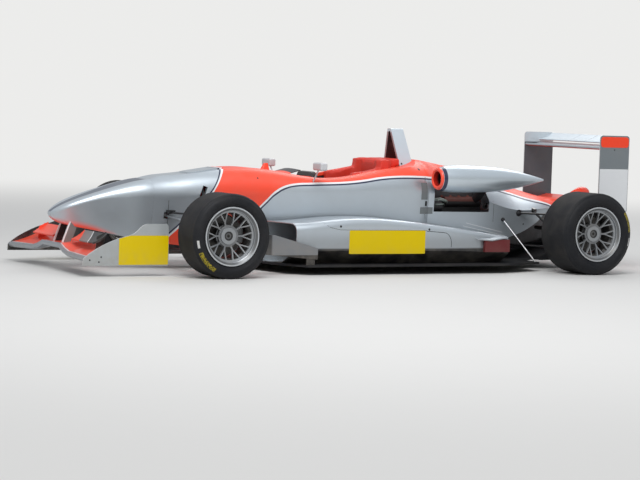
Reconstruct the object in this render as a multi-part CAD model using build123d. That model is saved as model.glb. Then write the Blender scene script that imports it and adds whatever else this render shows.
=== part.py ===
from build123d import *
import os
from math import atan2, cos, degrees, hypot, pi

# Open wheel racing car in millimetres.
# Origin on the ground under the middle of the car, +X to the nose, +Y to the car's left, +Z up.

# Whole car
wheelbase = 2770
front_overhang = 890
rear_overhang = 540
front_axle_x = wheelbase / 2 - (front_overhang - rear_overhang) / 2
rear_axle_x = front_axle_x - wheelbase
car_front_x = front_axle_x + front_overhang
car_rear_x = rear_axle_x - rear_overhang
tub_front_x = front_axle_x + 210
tub_rear_x = front_axle_x - 1770
joint_gap = 0.3
shaft_gap = 0.5
running_gap = 5
eye_gap = 1

# Wheels: radius of tyre and rim lip, lip plane from the centreline, width over the lips
rim_lip_radius = 185
bead_radius = 168
rim_well_radius = 147
rim_wall = 5
spoke_count = 10
front_wheel = dict(tyre=266, lip_y=909, width=250, bulge=9)
rear_wheel = dict(tyre=278, lip_y=903, width=290, bulge=12)
nut_depth = 55
brake_disc_radius = 124
brake_disc_thickness = 26
brake_disc_depth = 150
stub_radius = 24

# Steering
kingpin_top_y = 712
kingpin_low_y = 732
kingpin_top_above_axle = 112
kingpin_low_below_axle = 110
steering_arm = 110
tie_above_axle = 40
rack_z = 352
rack_half_length = 150
rack_radius = 11
ball_pin_radius = 5

# Floor and tub
floor_top = 64
floor_thickness = 12
plank_thickness = 12
tub_wall = 20
skin = 5

os.makedirs("parts", exist_ok=True)
nodes = {}


def save(name, *solids):
    nodes[name] = Compound(children=[s for item in solids for s in item.solids()])


def both_sides(*solids):
    return list(solids) + [s.mirror(Plane.XZ) for s in solids]


# Places along the car
def fore(offset):
    """X at an offset from the front axle."""
    return front_axle_x + offset


def tail(offset):
    """X at an offset from the rear axle."""
    return rear_axle_x + offset


def ahead(offset):
    """X ahead of the tub, stretched with the nose, which is 680 long at this size."""
    return tub_front_x + offset * (car_front_x - tub_front_x) / 680


def aft(offset):
    """X behind the tub, stretched with the room up to the rear axle, which is 1000 at this size."""
    return tub_rear_x - offset * (tub_rear_x - rear_axle_x) / 1000


# Shapes used more than once
def rod(a, b, radius):
    """Round bar from point a to point b."""
    a, b = Vector(*a), Vector(*b)
    return extrude(Plane(origin=a, z_dir=b - a) * Circle(radius), (b - a).length)


def blade(a, b, chord, thickness):
    """Streamlined bar from a to b, its chord level along X."""
    a, b = Vector(*a), Vector(*b)
    direction = (b - a).normalized()
    side = Vector(1, 0, 0) - direction * direction.X
    plane = Plane(origin=a, x_dir=side.normalized(), z_dir=direction)
    return extrude(plane * Ellipse(chord / 2, thickness / 2), (b - a).length)


def across(x):
    """Plane square to the car's length at x, drawn in Y and Z."""
    return Plane(origin=(x, 0, 0), x_dir=(0, 1, 0), z_dir=(1, 0, 0))


def side_plate(points, y, thickness):
    """Upright plate along the car, its outline given in X and Z."""
    face = make_face(Plane.XZ * Polyline(*points, close=True))
    return Pos(0, y, 0) * extrude(face, thickness / 2, both=True)


def side_block(points, half_width):
    """Block across the car, its outline given in X and Z."""
    return extrude(make_face(Plane.XZ * Polyline(*points, close=True)), half_width, both=True)


def hull_section(x, low_z, low_y, side_z, side_y, top_z, top_y, bulge, inset=0):
    """Body section across the car: flat belly, leaning side, curved shoulder, flat top."""
    low_y, side_y, top_y = low_y - inset, side_y - inset, max(top_y - inset, 8)
    low_z, top_z = low_z + inset, top_z - inset
    mid_y, mid_z = (side_y + top_y) / 2, (side_z + top_z) / 2
    arc_y = mid_y + bulge * (side_y - mid_y)
    arc_z = mid_z + bulge * (top_z - mid_z)
    return across(x) * make_face([
        Line((-low_y, low_z), (low_y, low_z)),
        Line((low_y, low_z), (side_y, side_z)),
        ThreePointArc((side_y, side_z), (arc_y, arc_z), (top_y, top_z)),
        Line((top_y, top_z), (-top_y, top_z)),
        ThreePointArc((-top_y, top_z), (-arc_y, arc_z), (-side_y, side_z)),
        Line((-side_y, side_z), (-low_y, low_z)),
    ])


def hull(rows, inset=0):
    return loft([hull_section(*row, inset=inset) for row in rows])


def shifted(row, step):
    return (row[0] + step,) + row[1:]


def aerofoil(lead, trail, thickness, camber):
    """Wing section in the XZ plane from its leading to its trailing edge, cambered downwards."""
    (x0, z0), (x1, z1) = lead, trail
    chord = hypot(x1 - x0, z1 - z0)
    ux, uz = (x1 - x0) / chord, (z1 - z0) / chord

    def at(along, up):
        return (x0 + ux * along * chord + uz * up, z0 + uz * along * chord - ux * up)
    nose_r = thickness / 2
    return Plane.XZ * make_face([
        ThreePointArc(at(0.04, -nose_r), at(0, 0), at(0.04, nose_r)),
        ThreePointArc(at(0.04, nose_r), at(0.45, thickness * 0.5 - camber), at(1, 1)),
        Line(at(1, 1), at(1, -1)),
        ThreePointArc(at(1, -1), at(0.45, -thickness * 0.5 - camber), at(0.04, -nose_r)),
    ])


# Nose cone
# x, belly z, belly half width, crease z, crease half width, top z, top half width, bulge of the shoulder
nose_rows = [
    (ahead(648), 338, 14, 351, 28, 366, 14, 0.6),
    (ahead(591), 302, 50, 378, 80, 403, 54, 0.55),
    (ahead(409), 258, 92, 441, 130, 476, 80, 0.5),
    (ahead(162), 210, 122, 468, 160, 553, 90, 0.45),
    (tub_front_x, 186, 130, 466, 174, 584, 98, 0.45),
]
nose = hull(nose_rows)
nose_hollow = [shifted(row, -skin) for row in nose_rows[1:-1]] + [shifted(nose_rows[-1], -1)]
save("nose_cone", nose - hull(nose_hollow, inset=skin))

# Monocoque
cockpit_front_x = fore(-835)
cockpit_rear_x = fore(-1555)
cockpit_half = 205
cockpit_waist_x = fore(-1150)
cockpit_corner = 60
tub_rows = [
    (tub_front_x - joint_gap, 186, 130, 466, 174, 584, 98, 0.45),
    (front_axle_x, 156, 140, 460, 187, 616, 112, 0.45),
    (fore(-310), 105, 170, 470, 215, 657, 118, 0.45),
    (fore(-650), floor_top, 215, 490, 262, 653, 150, 0.45),
    (fore(-920), floor_top, 275, 505, 305, 613, 238, 0.4),
    (fore(-1210), floor_top, 295, 510, 325, 629, 250, 0.4),
    (fore(-1470), floor_top, 295, 515, 330, 676, 250, 0.4),
    (tub_rear_x, floor_top, 285, 520, 322, 740, 112, 0.35),
]
below_floor = Pos(0, 0, floor_top - 100) * Box(2 * (front_overhang + wheelbase), 2000, 200)
tub_outer = hull(tub_rows) - below_floor
tub_inner = hull([shifted(tub_rows[0], -tub_wall)] + tub_rows[1:-1] + [shifted(tub_rows[-1], tub_wall)],
                 inset=tub_wall)


def cockpit_outline(inset=0):
    """Plan of the cockpit opening, round at the rear corners and bowed at the front."""
    rear, front = cockpit_rear_x + inset, cockpit_front_x - inset
    half, bow_half, corner = cockpit_half - inset, 150 - inset, cockpit_corner - inset
    bow_x = front - 60
    bend = corner * (1 - cos(pi / 4))
    return make_face([
        Line((rear, corner - half), (rear, half - corner)),
        ThreePointArc((rear, half - corner), (rear + bend, half - bend), (rear + corner, half)),
        Line((rear + corner, half), (cockpit_waist_x, half)),
        Line((cockpit_waist_x, half), (bow_x, bow_half)),
        ThreePointArc((bow_x, bow_half), (front, 0), (bow_x, -bow_half)),
        Line((bow_x, -bow_half), (cockpit_waist_x, -half)),
        Line((cockpit_waist_x, -half), (rear + corner, -half)),
        ThreePointArc((rear + corner, -half), (rear + bend, bend - half), (rear, corner - half)),
    ])


cockpit_low_z = 520
cockpit_cut = extrude(Plane.XY.offset(cockpit_low_z) * cockpit_outline(), 300)
rack_x = front_axle_x + steering_arm
rod_slot = Pos(rack_x, 0, rack_z) * Box(36, 600, 42)
push_slot_x = fore(-130)
push_slot_z = 509
push_slots = Pos(push_slot_x, 0, push_slot_z) * Rot(0, -20, 0) * Box(32, 600, 76)
save("monocoque", tub_outer - tub_inner - cockpit_cut - rod_slot - push_slots)

# Covers on top of the tub: the raised damper cover and a small blister before the cockpit
cover_rise = 7
cover_plan = make_face(Polyline(
    (fore(-75), -62), (fore(-75), 62), (fore(-115), 92), (fore(-305), 96), (fore(-322), 84),
    (fore(-322), -84), (fore(-305), -96), (fore(-115), -92), close=True))
damper_cover = extrude(Plane.XY.offset(560) * cover_plan, 150) & (Pos(0, 0, cover_rise) * tub_outer)
blister_x = fore(-672)
blister = loft([Plane.XY.offset(640) * Pos(blister_x, 0) * RectangleRounded(70, 44, 14),
                Plane.XY.offset(696) * Pos(blister_x - 8, 0) * RectangleRounded(30, 18, 8)])
save("cowl_covers", damper_cover - tub_outer, blister - tub_outer)

# Keel that carries the lower front wishbones
keel_low = 95
keel_high = 215
keel_half = 62
keel_plan = make_face(Polyline(
    (fore(150), -20), (fore(150), 20), (fore(90), keel_half), (fore(-260), keel_half),
    (fore(-260), -keel_half), (fore(90), -keel_half), close=True))
keel_block = extrude(Plane.XY.offset(keel_low) * keel_plan, keel_high - keel_low)
jack_bore_radius = 8
front_jack_x = fore(-40)
front_jack_depth = 40
front_jack_bore = Pos(front_jack_x, 0, keel_low + front_jack_depth / 2) * Cylinder(
    jack_bore_radius, front_jack_depth)
save("front_keel", keel_block - tub_outer - front_jack_bore)

# Windscreen, a low dark hood that leans back over the front of the cockpit
screen_x = fore(-1060)
screen_low_z = 606
screen_height = 76
screen_outer = Pos(screen_x, 0, screen_low_z + screen_height / 2) * Cone(390, 140, screen_height)
screen = screen_outer - Pos(0, 0, -skin) * screen_outer
screen = screen - Pos(fore(-864), 0, 664) * Rot(0, -25, 0) * Pos(0, 0, 60) * Box(900, 600, 120)
screen = screen & (Pos(fore(-855), 0, screen_low_z + 50) * Box(210, 250, 100))
save("windscreen", screen - tub_outer)

# Collar round the cockpit with the head pads, its rear block standing on the deck
collar_points = [
    (fore(-1230), 560), (fore(-1230), 640), (fore(-1330), 660), (fore(-1448), 686), (fore(-1454), 738),
    (fore(-1640), 742), (fore(-1640), 560)]
collar_room = extrude(Plane.XY.offset(560) * cockpit_outline(joint_gap), 300)
head_block = Pos((fore(-1643) + fore(-1510)) / 2, 0, 710) * Box(fore(-1510) - fore(-1643), 280, 300)
collar = side_block(collar_points, cockpit_half) & (collar_room + (head_block - tub_outer))
collar_hole_x = fore(-1292)
collar = collar - extrude(Plane.XY.offset(500) * Pos(collar_hole_x, 0) * RectangleRounded(
    370, 2 * cockpit_half - 90, 80), 300)
save("cockpit_collar", collar)

# Seat shell
seat_x = fore(-1210)
seat_half = 178
seat_shell = 8
seat = side_block([
    (-322, 560), (-322, 470), (-225, 150), (-130, 92), (120, 92), (260, 150),
    (260, 200), (-60, 190), (-190, 330), (-270, 560)], seat_half)
seat = seat - side_block([
    (-312, 600), (-312, 472), (-217, 154), (-128, 100), (118, 100), (262, 158),
    (300, 300), (100, 600)], seat_half - seat_shell)
save("seat", Pos(seat_x, 0, 0) * seat)

# Dash bulkhead with its column hole
column_foot = Vector(rack_x, 0, rack_z)
wheel_hub = Vector(fore(-995), 0, 556)
column_dir = (wheel_hub - column_foot).normalized()
column_radius = 11
column_plane = Plane(origin=wheel_hub, z_dir=-column_dir)
dash_thickness = 10
dash = (Pos(fore(-880), 0, 535) * Box(dash_thickness, 660, 100)) & tub_inner
save("dash_bulkhead", dash - extrude(column_plane * Circle(column_radius + shaft_gap), 400))

# Steering wheel and column
rim_plane = Plane(origin=wheel_hub, x_dir=(0, 1, 0), z_dir=column_dir)
grip = extrude(rim_plane * (RectangleRounded(272, 176, 60) - RectangleRounded(214, 118, 40)), 24)
hub_plate = extrude(rim_plane * (Rectangle(228, 46) + Circle(42)), 14)
column_end_gap = 34
column = extrude(column_plane * Circle(column_radius), (column_foot - wheel_hub).length - column_end_gap)
save("steering_wheel", grip + hub_plate + column)

# Rack, track rods and housing
axle_z = front_wheel["tyre"]
tie_z = axle_z + tie_above_axle
kingpin_height = kingpin_top_above_axle + kingpin_low_below_axle
kingpin_share = (kingpin_top_above_axle - tie_above_axle) / kingpin_height
tie_y = kingpin_top_y + (kingpin_low_y - kingpin_top_y) * kingpin_share
eye_hole = ball_pin_radius + running_gap
eye_radius = eye_hole + 5
eye_height = 14
track_rod_radius = 8
rack = rod((rack_x, -rack_half_length, rack_z), (rack_x, rack_half_length, rack_z), rack_radius)
for side in (1, -1):
    inner = Vector(rack_x, side * (rack_half_length - track_rod_radius), rack_z)
    outer = Vector(rack_x, side * tie_y, tie_z)
    eye = Pos(*outer) * (Cylinder(eye_radius, eye_height) - Cylinder(eye_hole, eye_height))
    bar = rod(inner, outer, track_rod_radius) - Pos(*outer) * Cylinder(eye_hole + 2, 40)
    rack = rack + bar + eye
save("steering_rack", rack)
housing_half = 95
housing_low_z = 150
housing = rod((rack_x, -housing_half, rack_z), (rack_x, housing_half, rack_z), 26)
housing = housing + Pos(rack_x, 0, (rack_z + housing_low_z) / 2) * Box(
    40, 2 * housing_half - 30, rack_z - housing_low_z)
housing = housing - rod((rack_x, -200, rack_z), (rack_x, 200, rack_z), rack_radius + shaft_gap)
housing = housing - extrude(column_plane * Circle(column_radius + running_gap), 1400)
save("rack_housing", housing & tub_inner)

# Roll hoop, a leaning arch of sheet metal
hoop_top = 948
hoop_foot = 640
hoop_wall = 18
hoop_top_half = 23
hoop_foot_half = 131
hoop_points = [
    (fore(-1625), hoop_top), (fore(-1722), hoop_top), (fore(-1766), hoop_foot), (fore(-1659), hoop_foot)]
arch = make_face(Polyline(
    (-hoop_foot_half, hoop_foot), (-hoop_top_half, hoop_top), (hoop_top_half, hoop_top),
    (hoop_foot_half, hoop_foot), close=True))
arch_hole = make_face(Polyline(
    (hoop_wall - hoop_foot_half, hoop_foot), (-9, hoop_top - hoop_wall), (9, hoop_top - hoop_wall),
    (hoop_foot_half - hoop_wall, hoop_foot), close=True))
hoop = side_block(hoop_points, hoop_foot_half)
hoop = hoop & extrude(across(tub_rear_x - 100) * (arch - arch_hole), 400)
hoop = fillet(hoop.edges().filter_by(Axis.X).group_by(Axis.Z)[-1], 12)
save("roll_hoop", hoop - tub_outer)

# Mirrors on stalks
mirror_x = fore(-893)
mirror_y = 372
mirror_z = 690
mirror_depth = 52
mirror_pod = fillet(Box(mirror_depth, 120, 52).edges(), 12) - Pos(-mirror_depth / 2, 0, 0) * Box(8, 96, 34)
mirror_pod = Pos(mirror_x, mirror_y, mirror_z) * mirror_pod
stalk = rod((mirror_x - 4, 250, 560), (mirror_x - 2, mirror_y - 20, mirror_z - 20), 5)
save("mirrors", *both_sides(mirror_pod + (stalk - tub_outer)))

# Floor, plank and diffuser
floor_half = 700
floor_front_x = fore(-310)
floor_rear_x = tail(240)
floor_face = make_face(Polyline(
    (floor_front_x, 0), (floor_front_x, 90), (fore(-370), 150), (fore(-470), 200), (fore(-550), 560),
    (fore(-650), floor_half), (aft(380), floor_half), (tail(320), 585), (floor_rear_x, 560),
    (floor_rear_x, 0), close=True))
floor = extrude(Plane.XY.offset(floor_top - floor_thickness) * floor_face, floor_thickness)
save("floor", floor + floor.mirror(Plane.XZ))
plank_z = floor_top - floor_thickness - plank_thickness
plank_end_gap = 30
save("skid_plank", Pos((floor_front_x + floor_rear_x) / 2, 0, plank_z + plank_thickness / 2) * Box(
    floor_front_x - floor_rear_x - 2 * plank_end_gap, 300, plank_thickness))
diffuser_rear_x = tail(-320)
diffuser_half = 330
diffuser_exit_z = 190
ramp_x = tail(140)
diffuser = side_block([
    (floor_rear_x - joint_gap, floor_top - floor_thickness), (floor_rear_x - joint_gap, floor_top),
    (ramp_x, floor_top + 8), (diffuser_rear_x, diffuser_exit_z + 8), (diffuser_rear_x, diffuser_exit_z),
    (ramp_x, floor_top - 2)], diffuser_half)
fence_thickness = 6
for y in (fence_thickness / 2 - diffuser_half, -130, 130, diffuser_half - fence_thickness / 2):
    diffuser = diffuser + side_plate([
        (ramp_x, floor_top), (diffuser_rear_x, diffuser_exit_z + 4), (diffuser_rear_x, 70),
        (tail(60), 58)], y, fence_thickness)
save("diffuser", diffuser)

# Sidepods
# x, inner y, outer y, foot y, top z, edge z at the bottom, corner radius
pod_rows = [
    (fore(-510), 300, 600, 470, 334, 150, 50),
    (fore(-690), 318, 636, 500, 335, 152, 50),
    (fore(-880), 336, 645, 520, 354, 155, 45),
    (fore(-1310), 344, 650, 540, 357, 155, 40),
    (fore(-1730), 344, 648, 540, 313, 152, 38),
    (aft(300), 344, 615, 520, 266, 140, 34),
    (aft(500), 344, 560, 470, 240, 122, 30),
]


def pod_section(x, inner_y, outer_y, foot_y, top_z, edge_z, corner, inset=0):
    inner_y, outer_y = inner_y + inset, outer_y - inset
    low, top_z, edge_z = floor_top + inset, top_z - inset, edge_z + inset * 0.4
    corner = corner - inset * 0.5
    bend = corner * (1 - cos(pi / 4))
    return across(x) * make_face([
        Line((inner_y, low), (foot_y, low)),
        Line((foot_y, low), (outer_y, edge_z)),
        Line((outer_y, edge_z), (outer_y, top_z - corner)),
        ThreePointArc((outer_y, top_z - corner), (outer_y - bend, top_z - bend), (outer_y - corner, top_z)),
        Line((outer_y - corner, top_z), (inner_y, top_z)),
        Line((inner_y, top_z), (inner_y, low)),
    ])


pod_outer = loft([pod_section(*row) for row in pod_rows])
duct_rows = [shifted(pod_rows[0], skin)] + pod_rows[1:-1] + [shifted(pod_rows[-1], -skin)]
duct = loft([pod_section(*row, inset=skin) for row in duct_rows])
inlet_cut = extrude(make_face(Polyline(
    (fore(-515), 250), (fore(-613), 670), (fore(-310), 670), (fore(-310), 250), close=True)), 500)

# Flared shelf along the tail of each sidepod: x, inner y, inner z, outer y, outer z
shelf_thickness = 7
shelf_rows = [
    (aft(140), 520, 287, 598, 276), (aft(200), 520, 280, 646, 230), (aft(310), 500, 266, 652, 224),
    (aft(440), 480, 247, 648, 243), (aft(470), 470, 244, 600, 240)]


def shelf_section(x, inner_y, inner_z, outer_y, outer_z):
    return across(x) * make_face(Polyline(
        (inner_y, inner_z), (outer_y, outer_z), (outer_y, outer_z - shelf_thickness),
        (inner_y, inner_z - shelf_thickness), close=True))


shelf = loft([shelf_section(*row) for row in shelf_rows], ruled=True)
sidepod = pod_outer + shelf - duct - inlet_cut
save("sidepod_left", sidepod)
save("sidepod_right", sidepod.mirror(Plane.XZ))
box_front_x = aft(259)
box_rear_x = aft(456)
tail_box = Pos((box_front_x + box_rear_x) / 2, 600, 187) * Box(box_front_x - box_rear_x, 92, 90)
tail_box = (tail_box - pod_outer - shelf) & (Pos(0, 600, 100) * Box(5000, 200, 250))
save("tail_boxes", *both_sides(tail_box.solids().sort_by(SortBy.VOLUME)[-1]))

# Radiators inside the sidepods
radiator = Pos(fore(-1030), 480, 200) * Rot(0, 0, 28) * Box(45, 250, 200)
save("radiators", *both_sides(radiator & duct))

# Engine cover shell
cover_rows = [
    (tub_rear_x - joint_gap, floor_top, 285, 520, 322, 740, 112, 0.35),
    (aft(120), floor_top, 292, 515, 328, 724, 84, 0.1),
    (aft(340), floor_top + 2, 305, 500, 334, 686, 56, 0.05),
    (aft(540), 180, 312, 446, 336, 636, 56, 0.2),
    (aft(690), 226, 310, 412, 332, 590, 68, 0.1),
    (aft(840), 286, 303, 410, 320, 545, 92, 0.1),
    (rear_axle_x, 372, 275, 420, 300, 500, 160, 0.2),
    (tail(-180), 404, 240, 430, 262, 488, 190, 0.3),
]
cover = hull(cover_rows) - below_floor
open_rows = [(row[0], row[1] - 40) + row[2:] for row in cover_rows]
bay = hull([shifted(open_rows[0], skin)] + open_rows[1:-1] + [shifted(open_rows[-1], -skin)], inset=skin)
bay_front_x = aft(44)
bay_rear_x = aft(480)
bay_low_z = 394
bay_top_z = 612
bay_inner_y = 120
side_opening = Pos((bay_front_x + bay_rear_x) / 2, bay_inner_y + 250, (bay_low_z + bay_top_z) / 2) * Box(
    bay_front_x - bay_rear_x, 500, bay_top_z - bay_low_z)
cover_shell = cover - bay - side_opening
wishbone_mount = Vector(tail(268), 314, 388)
push_mount = Vector(tail(135), 305, 402)
stay_mount = Vector(tail(403), 334, 342)
mount_hole_radius = 24
for mount in (wishbone_mount, push_mount):
    cover_shell = cover_shell - Pos(mount.X, 0, mount.Z) * Rot(90, 0, 0) * Cylinder(mount_hole_radius, 1000)
save("engine_cover", cover_shell)

# Engine with its cam cover and alternator
engine_front_x = tub_rear_x - joint_gap
engine_rear_x = aft(525)
engine_mid_x = (engine_front_x + engine_rear_x) / 2
engine = Pos(engine_mid_x, 0, 270) * Box(engine_front_x - engine_rear_x, 300, 400)
engine = chamfer(engine.edges().filter_by(Axis.X).group_by(Axis.Z)[-1], 24)
cam_cover = Pos(engine_mid_x, 40, 510) * Box(420, 190, 100)
cam_cover = fillet(cam_cover.edges().filter_by(Axis.X).group_by(Axis.Z)[-1], 30)
alternator = rod((aft(80), 178, 424), (aft(175), 178, 424), 40) + rod((aft(70), 178, 424), (aft(85), 178, 424), 24)
engine = engine + cam_cover + alternator + Pos(aft(130), 145, 424) * Box(60, 40, 40)
save("engine", engine)

# Plenum on the engine's left, with a runner to each cylinder
plenum_y = 196
plenum_z = 456
plenum_radius = 36
neck_x = aft(440)
plenum = rod((aft(190), plenum_y, plenum_z), (aft(475), plenum_y, plenum_z), plenum_radius)
for offset in (215, 285, 355, 425):
    plenum = plenum + rod((aft(offset), plenum_y, plenum_z), (aft(offset), 100, 500), 14)
plenum = plenum - engine
save("plenum", plenum)

# Air intake pod on the left side with its lip ring
pod_y = 402
pod_z = 622
pod_front_x = aft(4)
pod_rear_x = aft(871)
mouth_radius = 50
ring_depth = 15
body_front_x = pod_front_x - ring_depth - joint_gap
pod_body = revolve(Plane.XZ * make_face([
    Line((body_front_x, 0), (body_front_x, 76)),
    Spline((body_front_x, 76), (aft(100), 90), (aft(260), 93), (aft(490), 82), (aft(720), 44), (pod_rear_x, 7)),
    Line((pod_rear_x, 7), (pod_rear_x, 0)),
    Line((pod_rear_x, 0), (body_front_x, 0)),
]), Axis.X)
ring_back_x = pod_front_x - ring_depth
ring = revolve(Plane.XZ * make_face([
    Line((ring_back_x, mouth_radius), (ring_back_x, 74)),
    ThreePointArc((ring_back_x, 74), (pod_front_x - 4, 70), (pod_front_x, 60)),
    Line((pod_front_x, 60), (pod_front_x - 6, mouth_radius)),
    Line((pod_front_x - 6, mouth_radius), (ring_back_x, mouth_radius)),
]), Axis.X)
throat_depth = 500
throat = Pos(pod_front_x - throat_depth / 2, 0, 0) * Rot(0, 90, 0) * Cylinder(mouth_radius, throat_depth)
neck = rod((neck_x, pod_y - 20, pod_z - 20), (neck_x, plenum_y + 10, plenum_z + 12), 30)
neck = neck - Pos(0, pod_y, pod_z) * throat - plenum - engine
pod = Pos(0, pod_y, pod_z) * (pod_body - throat) + neck.solids().sort_by(SortBy.VOLUME)[-1]
save("intake_pod", pod, Pos(0, pod_y, pod_z) * ring)

# Gearbox and exhaust
gearbox_rear_x = tail(-270)
gearbox = loft([
    across(engine_rear_x - joint_gap) * Pos(0, 240) * RectangleRounded(280, 320, 30),
    across(tail(80)) * Pos(0, 265) * RectangleRounded(210, 250, 30),
    across(gearbox_rear_x) * Pos(0, 310) * RectangleRounded(150, 180, 25)])
for side in (1, -1):
    gearbox = gearbox + rod((wishbone_mount.X, side * 60, wishbone_mount.Z - 30),
                            (wishbone_mount.X, side * (wishbone_mount.Y - 14), wishbone_mount.Z), 14)
save("gearbox", gearbox)
exhaust_bend = (aft(340), -250, 330)
exhaust = rod((aft(340), -150 - joint_gap, 330), (aft(340), -264, 330), 24)
save("exhaust", exhaust + rod(exhaust_bend, (aft(860), -262, 300), 24))

# Rear crash structure, rain light and fairing
crash_rear_x = tail(-500)
crash = loft([
    across(gearbox_rear_x - joint_gap) * Pos(0, 330) * RectangleRounded(140, 150, 20),
    across(crash_rear_x) * Pos(0, 360) * RectangleRounded(90, 100, 20)])
jack_lug_x = crash_rear_x + 70
jack_lug_z = 270
jack_lug_width = 40
crash = crash + Pos(jack_lug_x, 0, jack_lug_z + 10) * Box(44, jack_lug_width, 60)
crash = crash - Pos(jack_lug_x, 0, jack_lug_z) * Rot(90, 0, 0) * Cylinder(jack_bore_radius, 200)
save("crash_structure", crash)
light_depth = 24
save("rain_light", Pos(crash_rear_x - joint_gap - light_depth / 2, 0, 360) * fillet(
    Box(light_depth, 80, 80).edges(), 6))
fairing_z = 516
fairing_rings = [(0, 16), (10, 31), (30, 42), (62, 45), (100, 34), (135, 17), (160, 3)]
fairing = loft([across(car_rear_x + step) * Pos(0, fairing_z) * Circle(radius) for step, radius in fairing_rings])
fairing_stem = Pos(car_rear_x + 76, 0, 450) * Box(80, 26, 100)
fairing = fairing + (fairing_stem - crash)
save("tail_fairing", fairing)

# Rear wing
wing_half = 478
plate_thickness = 6
plane_span = wing_half - plate_thickness
wing_front_x = tail(-290)
plate_top = 943
plate_low = 412
main_foil = aerofoil((wing_front_x - 4, 852), (wing_front_x - 148, 874), 18, 12)
flap_foil = aerofoil((wing_front_x - 128, 888), (car_rear_x + 6, 938), 10, 6)
save("rear_wing_planes", extrude(main_foil, plane_span, both=True), extrude(flap_foil, plane_span, both=True))
plate = side_plate([
    (wing_front_x, plate_top), (car_rear_x, plate_top), (car_rear_x, plate_low),
    (wing_front_x - 40, plate_low), (wing_front_x, plate_low + 70)], wing_half - plate_thickness / 2,
    plate_thickness)
plate = fillet(plate.edges().filter_by(Axis.Y).group_by(Axis.Z)[-1], 22)
save("rear_wing_plates", *both_sides(plate))
beam_foil = aerofoil((wing_front_x - 30, 455), (crash_rear_x, 490), 20, 12)
save("beam_wing", extrude(beam_foil, plane_span, both=True) - fairing)

# Front wing
tip_half = 645
front_plate_thickness = 8
wing_chord = 190
plateau_half = 140
# y, leading edge x, z at the leading edge, trailing z
plane_rows = [
    (plateau_half, car_front_x - 38, 158, 190), (215, car_front_x - 36, 132, 182),
    (300, car_front_x - 32, 114, 182), (tip_half, car_front_x - 8, 106, 182)]


def front_foil(y, lead_x, lead_z, trail_z):
    return Pos(0, y, 0) * aerofoil((lead_x, lead_z), (lead_x - wing_chord, trail_z), 34, 14)


half_plane = loft([front_foil(*row) for row in plane_rows], ruled=True)
centre_plane = extrude(front_foil(0, *plane_rows[0][1:]), plateau_half, both=True)
front_plane = centre_plane + half_plane + half_plane.mirror(Plane.XZ)
save("front_wing_plane", front_plane)
flap_in = 160
flap_out = 525
flap_plan = make_face(Polyline(
    (car_front_x - 230, flap_in), (car_front_x - 100, flap_in), (car_front_x - 100, flap_out - 70),
    (car_front_x - 122, flap_out - 22), (car_front_x - 170, flap_out), (car_front_x - 230, flap_out),
    close=True))
flap_span = flap_out - flap_in
front_flap = Pos(0, (flap_out + flap_in) / 2, 0) * extrude(
    aerofoil((car_front_x - 124, 196), (car_front_x - 212, 258), 12, 7), flap_span / 2, both=True)
front_flap = front_flap & extrude(flap_plan, 400)
flap_fence = side_plate([
    (car_front_x - 150, 140), (car_front_x - 158, 240), (car_front_x - 222, 268), (car_front_x - 200, 150)],
    flap_out - 40, 5)
front_flap = front_flap + (flap_fence - front_plane).solids().sort_by(SortBy.VOLUME)[-1]
save("front_wing_flaps", *both_sides(front_flap))
end_plate = extrude(Plane.XZ * make_face([
    Line((ahead(104), 68), (car_front_x, 70)),
    Line((car_front_x, 70), (car_front_x - 2, 112)),
    Spline((car_front_x - 2, 112), (ahead(560), 190), (ahead(412), 246), (ahead(335), 273),
           (ahead(294), 309), (ahead(248), 328)),
    Line((ahead(248), 328), (ahead(120), 327)),
    Line((ahead(120), 327), (ahead(109), 309)),
    Line((ahead(109), 309), (ahead(104), 68)),
]), front_plate_thickness / 2, both=True)
save("front_wing_plates", *both_sides(Pos(0, tip_half + front_plate_thickness / 2, 0) * end_plate))
pylon = side_plate([
    (car_front_x - 88, 160), (car_front_x - 152, 330), (car_front_x - 212, 330), (car_front_x - 152, 160)],
    72, 10)
save("nose_pylons", *both_sides(pylon - nose - front_plane))

# Turning vanes with the strut that stands on the floor
vane_y = 664
vane = side_plate([
    (fore(-350), 264), (fore(-426), 258), (fore(-737), 173), (fore(-737), 100), (fore(-350), 134)], vane_y, 6)
strut = side_plate([
    (fore(-660), floor_top), (fore(-660), 150), (fore(-720), 150), (fore(-720), floor_top)], vane_y - 8, 10)
save("turning_vanes", *both_sides(vane + strut))


# Wheels
def tyre_profile(radius, half, bulge):
    tread_y = half - 28
    wall_low, wall_mid = rim_lip_radius + 3, rim_lip_radius + 36
    shoulder, edge = radius - 16, radius - 4
    bead = bead_radius + joint_gap
    return make_face([
        Line((bead, 11 - half), (bead, half - 11)),
        Line((bead, half - 11), (wall_low, half - 7)),
        ThreePointArc((wall_low, half - 7), (wall_mid, half + bulge), (shoulder, half - 2)),
        ThreePointArc((shoulder, half - 2), (edge, half - 10), (radius, tread_y)),
        Line((radius, tread_y), (radius, -tread_y)),
        ThreePointArc((radius, -tread_y), (edge, 10 - half), (shoulder, 2 - half)),
        ThreePointArc((shoulder, 2 - half), (wall_mid, -half - bulge), (wall_low, 7 - half)),
        Line((wall_low, 7 - half), (bead, 11 - half)),
    ])


def barrel_profile(half):
    well, bead, lip = rim_well_radius, bead_radius, rim_lip_radius
    seat, lip_in = bead - rim_wall - 2, lip - 8
    return make_face(Polyline(
        (lip, half), (lip, half - 6), (bead, half - 10 - joint_gap), (bead - 2, half - 48), (well, half - 70),
        (well, 70 - half), (bead - 2, 48 - half), (bead, joint_gap + 10 - half), (lip, 6 - half),
        (lip, -half), (lip_in, -half), (seat, 14 - half), (seat, 46 - half), (well - rim_wall, 68 - half),
        (well - rim_wall, half - 68), (seat - 2, half - 46), (seat, half - 14), (lip_in, half), close=True))


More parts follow.
